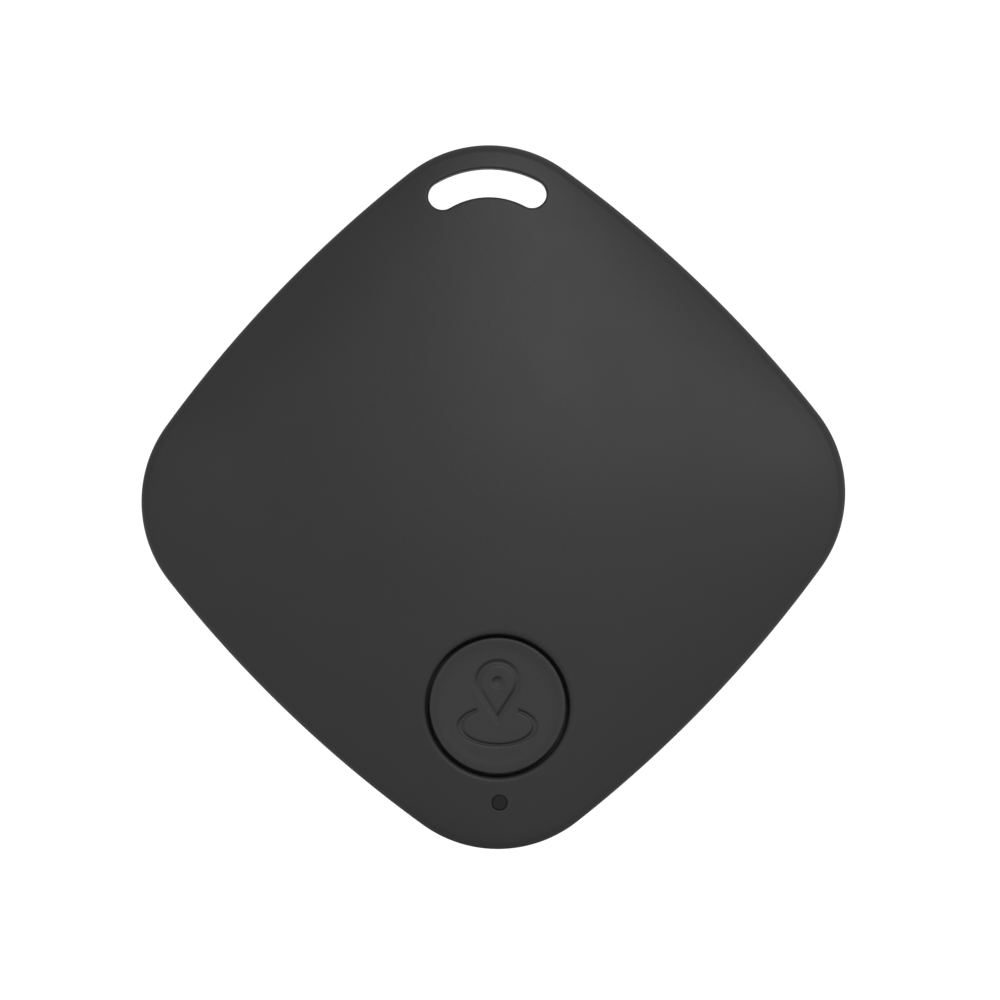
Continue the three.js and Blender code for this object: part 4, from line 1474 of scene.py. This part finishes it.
class Look:
    """A node material. Lengths in it are in millimetres of the row frame."""

    def __init__(self, name, roughness, metallic=0.0, specular=0.5):
        self.material = bpy.data.materials.new(name)
        self.material.use_nodes = True
        self.tree = self.material.node_tree
        self.surface = self.tree.nodes["Principled BSDF"]
        self.surface.inputs["Metallic"].default_value = metallic
        self.surface.inputs["Specular IOR Level"].default_value = specular
        self.surface.inputs["Roughness"].default_value = roughness
        coordinates = self.tree.nodes.new("ShaderNodeTexCoord")
        scale = self.add("ShaderNodeVectorMath", operation="SCALE")
        self.tree.links.new(coordinates.outputs["Object"], scale.inputs[0])
        scale.inputs["Scale"].default_value = 1 / MM
        self.place = scale.outputs[0]

    def add(self, kind, **settings):
        made = self.tree.nodes.new(kind)
        for name, value in settings.items():
            setattr(made, name, value)
        return made

    def put(self, target, value):
        """Links a node's output to an input, or sets the input to a value."""
        if isinstance(value, bpy.types.NodeSocket):
            self.tree.links.new(value, target)
        else:
            target.default_value = value

    def noise(self, per_mm, detail=2.0, roughness=0.5, place=None):
        made = self.add("ShaderNodeTexNoise")
        self.put(made.inputs["Vector"], place or self.place)
        made.inputs["Scale"].default_value = per_mm
        made.inputs["Detail"].default_value = detail
        made.inputs["Roughness"].default_value = roughness
        return made.outputs["Fac"]

    def stretched(self, along, across=1.0, depth=1.0):
        """Coordinates squeezed along x, y and z, so that a pattern drawn in them comes out stretched."""
        made = self.add("ShaderNodeVectorMath", operation="MULTIPLY")
        self.put(made.inputs[0], self.place)
        made.inputs[1].default_value = (along, across, depth)
        return made.outputs[0]

    def ramp(self, value, low, high, start=0.0, end=1.0):
        """A value mapped smoothly from low..high to start..end."""
        made = self.add("ShaderNodeMapRange", interpolation_type="SMOOTHSTEP")
        for name, setting in (("From Min", low), ("From Max", high), ("To Min", start), ("To Max", end)):
            self.put(made.inputs[name], setting)
        self.put(made.inputs["Value"], value)
        return made.outputs["Result"]

    def math(self, operation, *values):
        made = self.add("ShaderNodeMath", operation=operation)
        for socket, value in zip(made.inputs, values):
            self.put(socket, value)
        return made.outputs[0]

    def mix(self, share, first, second):
        """A colour between two colours."""
        made = self.add("ShaderNodeMix", data_type="RGBA")
        self.put(made.inputs["Factor"], share)
        self.put(made.inputs["A"], rgba(first))
        self.put(made.inputs["B"], rgba(second))
        return made.outputs["Result"]

    def colour(self, value):
        self.put(self.surface.inputs["Base Color"], rgba(value))

    def roughness(self, value):
        self.put(self.surface.inputs["Roughness"], value)

    def bump(self, height, depth, below=None):
        """Relief of a depth in millimetres, laid over an earlier relief if one is given."""
        made = self.add("ShaderNodeBump")
        self.put(made.inputs["Height"], height)
        made.inputs["Distance"].default_value = depth * MM
        if below:
            self.put(made.inputs["Normal"], below)
        self.put(self.surface.inputs["Normal"], made.outputs["Normal"])
        return made.outputs["Normal"]

    def attribute(self, name):
        return self.add("ShaderNodeAttribute", attribute_name=name).outputs["Fac"]


def rgba(value):
    if isinstance(value, bpy.types.NodeSocket):
        return value
    if isinstance(value, float):
        return (value, value, value, 1)
    return (*value, 1)


def moulded_plastic(name, tone, roughness, grain):
    """Matte moulded plastic: spark-eroded grain, faint mottling, edges burnished by handling, and painted
    shade and painted light where the piece's attributes ask for them."""
    look = Look(name, roughness)
    mottle = look.noise(0.22, 4.0, 0.6)
    worn = look.math("MULTIPLY", look.attribute("edge"), look.ramp(look.noise(0.9, 3.0), 0.4, 0.65))
    shade = look.attribute("shade")
    base = look.mix(look.ramp(mottle, 0.3, 0.7), tone * 0.97, tone * 1.03)
    base = look.mix(look.math("MULTIPLY", worn, 0.35), base, tone * 1.25)
    # painted light: a paler tone on the walls that the attribute marks
    base = look.mix(look.attribute("painted_light"), base, tone * PAINTED_LIGHT_TONE)
    # painted shade: where the shade attribute is set, the tone darkens and the shine weakens
    look.colour(look.mix(shade, base, tone * 0.5))
    specular = look.math("MULTIPLY_ADD", shade, -0.6 * PLASTIC_SPECULAR, PLASTIC_SPECULAR)
    look.put(look.surface.inputs["Specular IOR Level"], specular)
    rough = look.ramp(mottle, 0.3, 0.7, roughness - 0.012, roughness + 0.012)
    look.roughness(look.math("SUBTRACT", rough, look.math("MULTIPLY", worn, 0.05)))
    fine = look.bump(look.noise(GRAIN_FINE, 2.0, 0.55), grain)
    look.bump(look.noise(GRAIN_COARSE, 2.0, 0.5), grain * 1.6, fine)
    return look.material


def smoked_window():
    look = Look("smoked_window", 0.32, specular=0.4)
    look.colour(look.mix(look.noise(1.5), 0.009, 0.013))
    look.roughness(look.ramp(look.noise(3.0, 3.0), 0.3, 0.7, 0.28, 0.38))
    look.bump(look.noise(6.0), 0.0012)
    return look.material


def moulding(name, tone, roughness, spread=0.06, grain=6.0, depth=0.001, fleck=None):
    """Resin, ceramic and rubber: a mottled tone, and a fine surface. fleck adds specks of a colour."""
    look = Look(name, roughness)
    tone = Vector(tone)
    cloud = look.ramp(look.noise(1.3, 4.0, 0.6), 0.3, 0.7)
    colour = look.mix(cloud, tone * (1 - spread), tone * (1 + spread))
    if fleck:
        colour = look.mix(look.ramp(look.noise(14.0, 1.0), 0.62, 0.72), colour, fleck)
    look.colour(colour)
    look.roughness(look.ramp(look.noise(3.0, 3.0), 0.3, 0.7, roughness - 0.06, roughness + 0.06))
    fine = look.bump(look.noise(grain, 3.0, 0.6), depth)
    look.bump(look.noise(grain / 5, 2.0), depth * 1.5, fine)
    return look.material


def rolled_metal(name, tone, roughness, squeeze=(0.3, 9.0, 9.0), scratches=0.12):
    """Plated or plain sheet: rolling grain along x, faint stains and a few scratches."""
    look = Look(name, roughness, metallic=1.0)
    tone = Vector(tone)
    grain = look.noise(2.2, 4.0, 0.65, look.stretched(*squeeze))
    stain = look.ramp(look.noise(0.35, 4.0, 0.6), 0.35, 0.75)
    colour = look.mix(look.math("MULTIPLY", stain, 0.5), tone, tone * 0.82)
    look.colour(look.mix(look.ramp(grain, 0.3, 0.7, 0.0, 0.35), colour, tone * 0.78))
    scratch = look.ramp(look.noise(0.9, 2.0, 0.5, look.stretched(7.0, 0.5, 7.0)), 0.66, 0.7)
    rough = look.ramp(grain, 0.25, 0.75, roughness - 0.07, roughness + 0.09)
    look.roughness(look.math("MULTIPLY_ADD", scratch, scratches, rough))
    fine = look.bump(grain, 0.0022)
    look.bump(scratch, 0.0012, fine)
    return look.material


def tinned():
    """Solder and tin: bright, with frosty patches and soft dimples."""
    look = Look("tinned", 0.28, metallic=1.0)
    frost = look.ramp(look.noise(2.4, 4.0, 0.6), 0.4, 0.65)
    look.colour(look.mix(frost, (0.72, 0.72, 0.73), (0.56, 0.56, 0.57)))
    look.roughness(look.ramp(look.noise(5.0, 3.0), 0.3, 0.7, 0.2, 0.42))
    look.bump(look.noise(3.4, 2.0), 0.006)
    return look.material


def laminate(name, mask, depth):
    """Green solder mask on the faces, and layers of glass and resin at the cut edge."""
    look = Look(name, 0.3)
    mask = Vector(mask)
    cloud = look.ramp(look.noise(0.5, 4.0, 0.6), 0.3, 0.7)
    weave_x = look.noise(5.0, 0.0, 0.5, look.stretched(0.15, 1.0, 1.4))
    weave_z = look.noise(5.0, 0.0, 0.5, look.stretched(1.4, 1.0, 0.15))
    weave = look.math("ADD", weave_x, weave_z)
    face = look.mix(cloud, mask * 0.9, mask * 1.1)
    face = look.mix(look.ramp(weave, 0.8, 1.2, 0.0, 0.25), face, mask * 1.5)
    layers = look.noise(9.0, 2.0, 0.5, look.stretched(0.12, 1.6, 0.12))
    edge = look.mix(look.ramp(layers, 0.4, 0.6), (0.42, 0.36, 0.17), (0.24, 0.2, 0.09))
    normal = look.add("ShaderNodeNewGeometry").outputs["Normal"]
    split = look.add("ShaderNodeSeparateXYZ")
    look.put(split.inputs[0], normal)
    flat = look.ramp(look.math("ABSOLUTE", split.outputs["Y"]), 0.35, 0.6)
    look.colour(look.mix(flat, edge, face))
    look.roughness(look.ramp(flat, 0.0, 1.0, 0.75, look.ramp(cloud, 0.0, 1.0, 0.26, 0.36)))
    look.bump(weave, depth)
    return look.material


def sleeve(name, tone):
    """Silicone wire insulation: soft, a little dusty."""
    return moulding(name, tone, 0.46, 0.1, 4.0, 0.003)


# ---------- studio ----------

CAMERA_DISTANCE = 1.2
FRAME_WIDTH = 0.06417  # what the picture spans at the tag
AIM = (0.00042, -0.00019)  # where the frame's middle falls on the tag, across and up
CAMERA_ROLL = math.radians(1.15)
FLOOR_REACH = 6.0
FLOOR_GLOW = 0.12
KEY_DIRECTION = Vector((0.118, -0.969, 0.217))
KEY_DISTANCE = 1.5
KEY_SIZE = (0.22, 0.22)
KEY_POWER = 2.3
ROOM_LIGHT = 0.15  # in front of the tag and behind it
ROOM_SIDES = 0.45  # all round it, to the sides, above and below
ROOM_INNER = 0.03  # squared sine of the angle off the front-back axis where the light starts to rise
ROOM_OUTER = 0.35  # and where it stops
ROOM_SLANT = (0.09, 0.0, 0.06)  # how much brighter it is towards +x, +y and +z
BACKDROP = 1.1  # the white that the camera sees, which lights nothing


def studio_floor():
    """A pale round floor under the tag. It glows softly, so that it is white in the picture."""
    skin = Skin()
    rings = [circle(reach, steps=64) for reach in (10, 60, 400, FLOOR_REACH / MM)]
    skin.rings([at_height(ring, 0) for ring in rings])
    skin.sheet([rings[0]], [], 0)
    floor = skin.make("studio_floor")
    floor.data.transform(Matrix.Scale(MM, 4))
    floor.location.z = CAD_BOX[0].z - 0.0002
    look = Look("floor", 0.9)
    look.colour(look.mix(look.noise(0.002), 0.86, 0.9))
    light = look.add("ShaderNodeEmission")
    light.inputs["Color"].default_value = (1, 1, 1, 1)
    light.inputs["Strength"].default_value = 1.1
    facing = look.add("ShaderNodeLayerWeight")
    blend = look.add("ShaderNodeMixShader")
    grazing = look.ramp(facing.outputs["Facing"], 0.72, 0.94, 0.25, 1.0)
    seen = look.add("ShaderNodeLightPath").outputs["Is Camera Ray"]
    look.put(blend.inputs[0], look.ramp(seen, 0.0, 1.0, FLOOR_GLOW, grazing))
    look.put(blend.inputs[1], look.surface.outputs["BSDF"])
    look.put(blend.inputs[2], light.outputs["Emission"])
    output = look.tree.nodes["Material Output"]
    look.put(output.inputs["Surface"], blend.outputs["Shader"])
    floor.data.materials.append(look.material)


def softbox(name, direction, distance, size, power):
    """A square light that faces the tag."""
    data = bpy.data.lights.new(name, "AREA")
    data.shape = "RECTANGLE"
    data.size, data.size_y = size
    data.energy = power
    lamp = bpy.data.objects.new(name, data)
    bpy.context.scene.collection.objects.link(lamp)
    lamp.location = direction.normalized() * distance
    lamp.rotation_mode = "QUATERNION"
    lamp.rotation_quaternion = direction.to_track_quat("Z", "Y")


def surroundings():
    """White behind the tag, for the camera only. The tag is lit by a room that is brighter all round it."""
    world = bpy.data.worlds.new("studio")
    bpy.context.scene.world = world
    world.use_nodes = True
    tree = world.node_tree

    def vector_math(operation, first, second):
        made = tree.nodes.new("ShaderNodeVectorMath")
        made.operation = operation
        tree.links.new(first, made.inputs[0])
        if isinstance(second, tuple):
            made.inputs[1].default_value = second
        else:
            tree.links.new(second, made.inputs[1])
        return made.outputs["Value" if operation == "DOT_PRODUCT" else "Vector"]

    def added(first, second):
        made = tree.nodes.new("ShaderNodeMath")
        tree.links.new(first, made.inputs[0])
        tree.links.new(second, made.inputs[1])
        return made.outputs[0]

    direction = tree.nodes.new("ShaderNodeTexCoord").outputs["Generated"]
    slant = vector_math("DOT_PRODUCT", direction, ROOM_SLANT)
    sideways = vector_math("DOT_PRODUCT", direction, vector_math("MULTIPLY", direction, (1, 0, 1)))
    ring = tree.nodes.new("ShaderNodeMapRange")
    ring.interpolation_type = "SMOOTHSTEP"
    distances = (("From Min", ROOM_INNER), ("From Max", ROOM_OUTER))
    strengths = (("To Min", ROOM_LIGHT), ("To Max", ROOM_SIDES))
    for name, value in distances + strengths:
        ring.inputs[name].default_value = value
    tree.links.new(sideways, ring.inputs["Value"])
    path = tree.nodes.new("ShaderNodeLightPath")
    mix = tree.nodes.new("ShaderNodeMix")
    mix.data_type = "RGBA"
    tree.links.new(path.outputs["Is Camera Ray"], mix.inputs["Factor"])
    tree.links.new(added(slant, ring.outputs["Result"]), mix.inputs["A"])
    mix.inputs["B"].default_value = (BACKDROP, BACKDROP, BACKDROP, 1)
    tree.links.new(mix.outputs["Result"], tree.nodes["Background"].inputs["Color"])
    bpy.context.scene.view_settings.view_transform = "Standard"


def camera():
    data = bpy.data.cameras.new("camera")
    data.sensor_width = 36
    data.lens = data.sensor_width * CAMERA_DISTANCE / FRAME_WIDTH
    data.clip_start, data.clip_end = 0.05, 20
    view = bpy.data.objects.new("camera", data)
    bpy.context.scene.collection.objects.link(view)
    view.location = (AIM[0], -CAMERA_DISTANCE, AIM[1])
    facing = Matrix.Rotation(QUARTER_TURN, 4, "X")
    view.rotation_euler = (facing @ Matrix.Rotation(-CAMERA_ROLL, 4, "Z")).to_euler()
    bpy.context.scene.camera = view


# ---------- the scene ----------

case_plastic = moulded_plastic("case_plastic", CASE_TONE, CASE_ROUGHNESS, CASE_GRAIN)
button_plastic = moulded_plastic("button_plastic", BUTTON_TONE, CASE_ROUGHNESS, BUTTON_GRAIN)
finish_piece(front_cover(), case_plastic, "case", "case_plastic", "front_cover")
finish_piece(rear_cover(), case_plastic, "back", "case_plastic", "rear_cover")
finish_piece(button(), button_plastic, "button", "button_plastic", "button_cap")
finish_piece(light_window(), smoked_window(), "case", "smoked_window", "status_light_window")

can_steel = rolled_metal("cell_can", (0.66, 0.65, 0.63), 0.3)
cap_steel = rolled_metal("cell_cap", (0.64, 0.63, 0.6), 0.34, (9.0, 9.0, 0.3))
spring_steel = rolled_metal("contact_steel", (0.68, 0.66, 0.62), 0.27, (9.0, 9.0, 0.6), 0.06)
nylon = moulding("seal_nylon", (0.68, 0.66, 0.6), 0.48)
finish_piece(cell_can(), can_steel, "cell", "cell_can", "battery_can")
finish_piece(cell_gasket(), nylon, "cell", "seal_nylon", "battery_gasket")
finish_piece(cell_cap(), cap_steel, "cell", "cell_filling", "battery_cap")

tin = tinned()
mask = laminate("board_laminate", (0.018, 0.1, 0.042), 0.004)
track_mask = laminate("covered_copper", (0.035, 0.17, 0.07), 0.002)
resin = moulding("chip_resin", (0.018, 0.018, 0.02), 0.55, 0.12, 12.0, 0.003, (0.05, 0.05, 0.05))
ferrite = moulding("ferrite", (0.045, 0.045, 0.048), 0.62, 0.15, 9.0, 0.005, (0.12, 0.12, 0.12))
fired = moulding("antenna_ceramic", (0.6, 0.6, 0.55), 0.35)
capacitor = moulding("capacitor_ceramic", (0.34, 0.23, 0.13), 0.42, 0.1)
film = moulding("resistor_film", (0.02, 0.02, 0.022), 0.3, 0.15)
switch_resin = moulding("switch_plastic", (0.022, 0.022, 0.024), 0.5, 0.1, 8.0, 0.002)
clear_resin = moulding("lamp_resin", (0.75, 0.68, 0.42), 0.16, 0.05)
finish_piece(board(), mask, "case", "board_laminate", "circuit_board")
finish_piece(tracks(), track_mask, "case", "board_laminate")
finish_piece(vias(), tin, "case", "contact_steel")
finish_piece(radio_chip(), resin, "case", "chip_resin", "radio_chip")
finish_piece(crystal_can(), spring_steel, "case", "contact_steel", "crystal")
antenna = block("antenna_block", "chip_antenna", 0.08, 0.04)
finish_piece(antenna, fired, "case", "antenna_ceramic", "chip_antenna")
finish_piece(inductor(), ferrite, "case", "ferrite", "boost_inductor")
transistor = block("transistor_body", "buzzer_transistor", 0.1, 0.08)
finish_piece(transistor, resin, "case", "chip_resin", "buzzer_transistor")
finish_piece(lamp_body(), fired, "case", "lamp_resin", "status_lamp")
finish_piece(lamp_lens(), clear_resin, "case", "lamp_resin")
for node in PASSIVES:
    kind = (capacitor, "capacitor_ceramic") if node.startswith("capacitor") else (film, "resistor_film")
    finish_piece(block(node + "_body", node, 0.04, 0.03), kind[0], "case", kind[1], node)
finish_piece(passive_ends(), tin, "case", "contact_steel")
finish_piece(leads(), tin, "case", "contact_steel")
finish_piece(switch_base(), switch_resin, "case", "switch_plastic", "switch_base")
finish_piece(switch_cover(), spring_steel, "case", "contact_steel", "switch_cover")
finish_piece(plunger(), switch_resin, "plunger", "switch_plastic", "switch_plunger")
dome = finish_piece(snap_dome(), spring_steel, "case", "contact_steel", "switch_dome")
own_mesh(dome)
finish_piece(negative_spring(), spring_steel, "case", "contact_steel", "negative_contact")
finish_piece(positive_clip(), spring_steel, "case", "contact_steel", "positive_contact")
finish_piece(solder_joints(), tin, "case", "contact_steel")

foam = moulding("adhesive_tape", (0.74, 0.72, 0.66), 0.8, 0.05, 5.0, 0.006)
brass = rolled_metal("sounder_brass", (0.7, 0.48, 0.2), 0.28)
piezo = moulding("sounder_ceramic", (0.6, 0.57, 0.5), 0.5)
silver = rolled_metal("silvering", (0.74, 0.73, 0.7), 0.42, (3.0, 3.0, 3.0))
finish_piece(sounder_tape(), foam, "case", "adhesive_tape", "sounder_tape")
brass_disc = plate("brass_disc", "sounder_brass_disc", 0.03)
ceramic_disc = plate("ceramic_disc", "sounder_ceramic", 0.03)
finish_piece(brass_disc, brass, "case", "sounder_brass", "sounder_brass_disc")
finish_piece(ceramic_disc, piezo, "case", "sounder_ceramic", "sounder_ceramic")
finish_piece(electrode(), silver, "case", "sounder_ceramic")
ceramic_bottom = lying_box("sounder_ceramic")[0].z
brass_bottom = lying_box("sounder_brass_disc")[0].z
red, black = sleeve("wire_red", (0.42, 0.018, 0.014)), sleeve("wire_black", (0.02, 0.02, 0.022))
finish_piece(wire("red_wire", 1, 2.6, ceramic_bottom), red, "case", "wire_red", "sounder_wire_red")
finish_piece(wire("black_wire", -1, 3.7, brass_bottom), black, "case", "wire_black", "sounder_wire_black")

studio_floor()
surroundings()
softbox("key", KEY_DIRECTION, KEY_DISTANCE, KEY_SIZE, KEY_POWER)
camera()
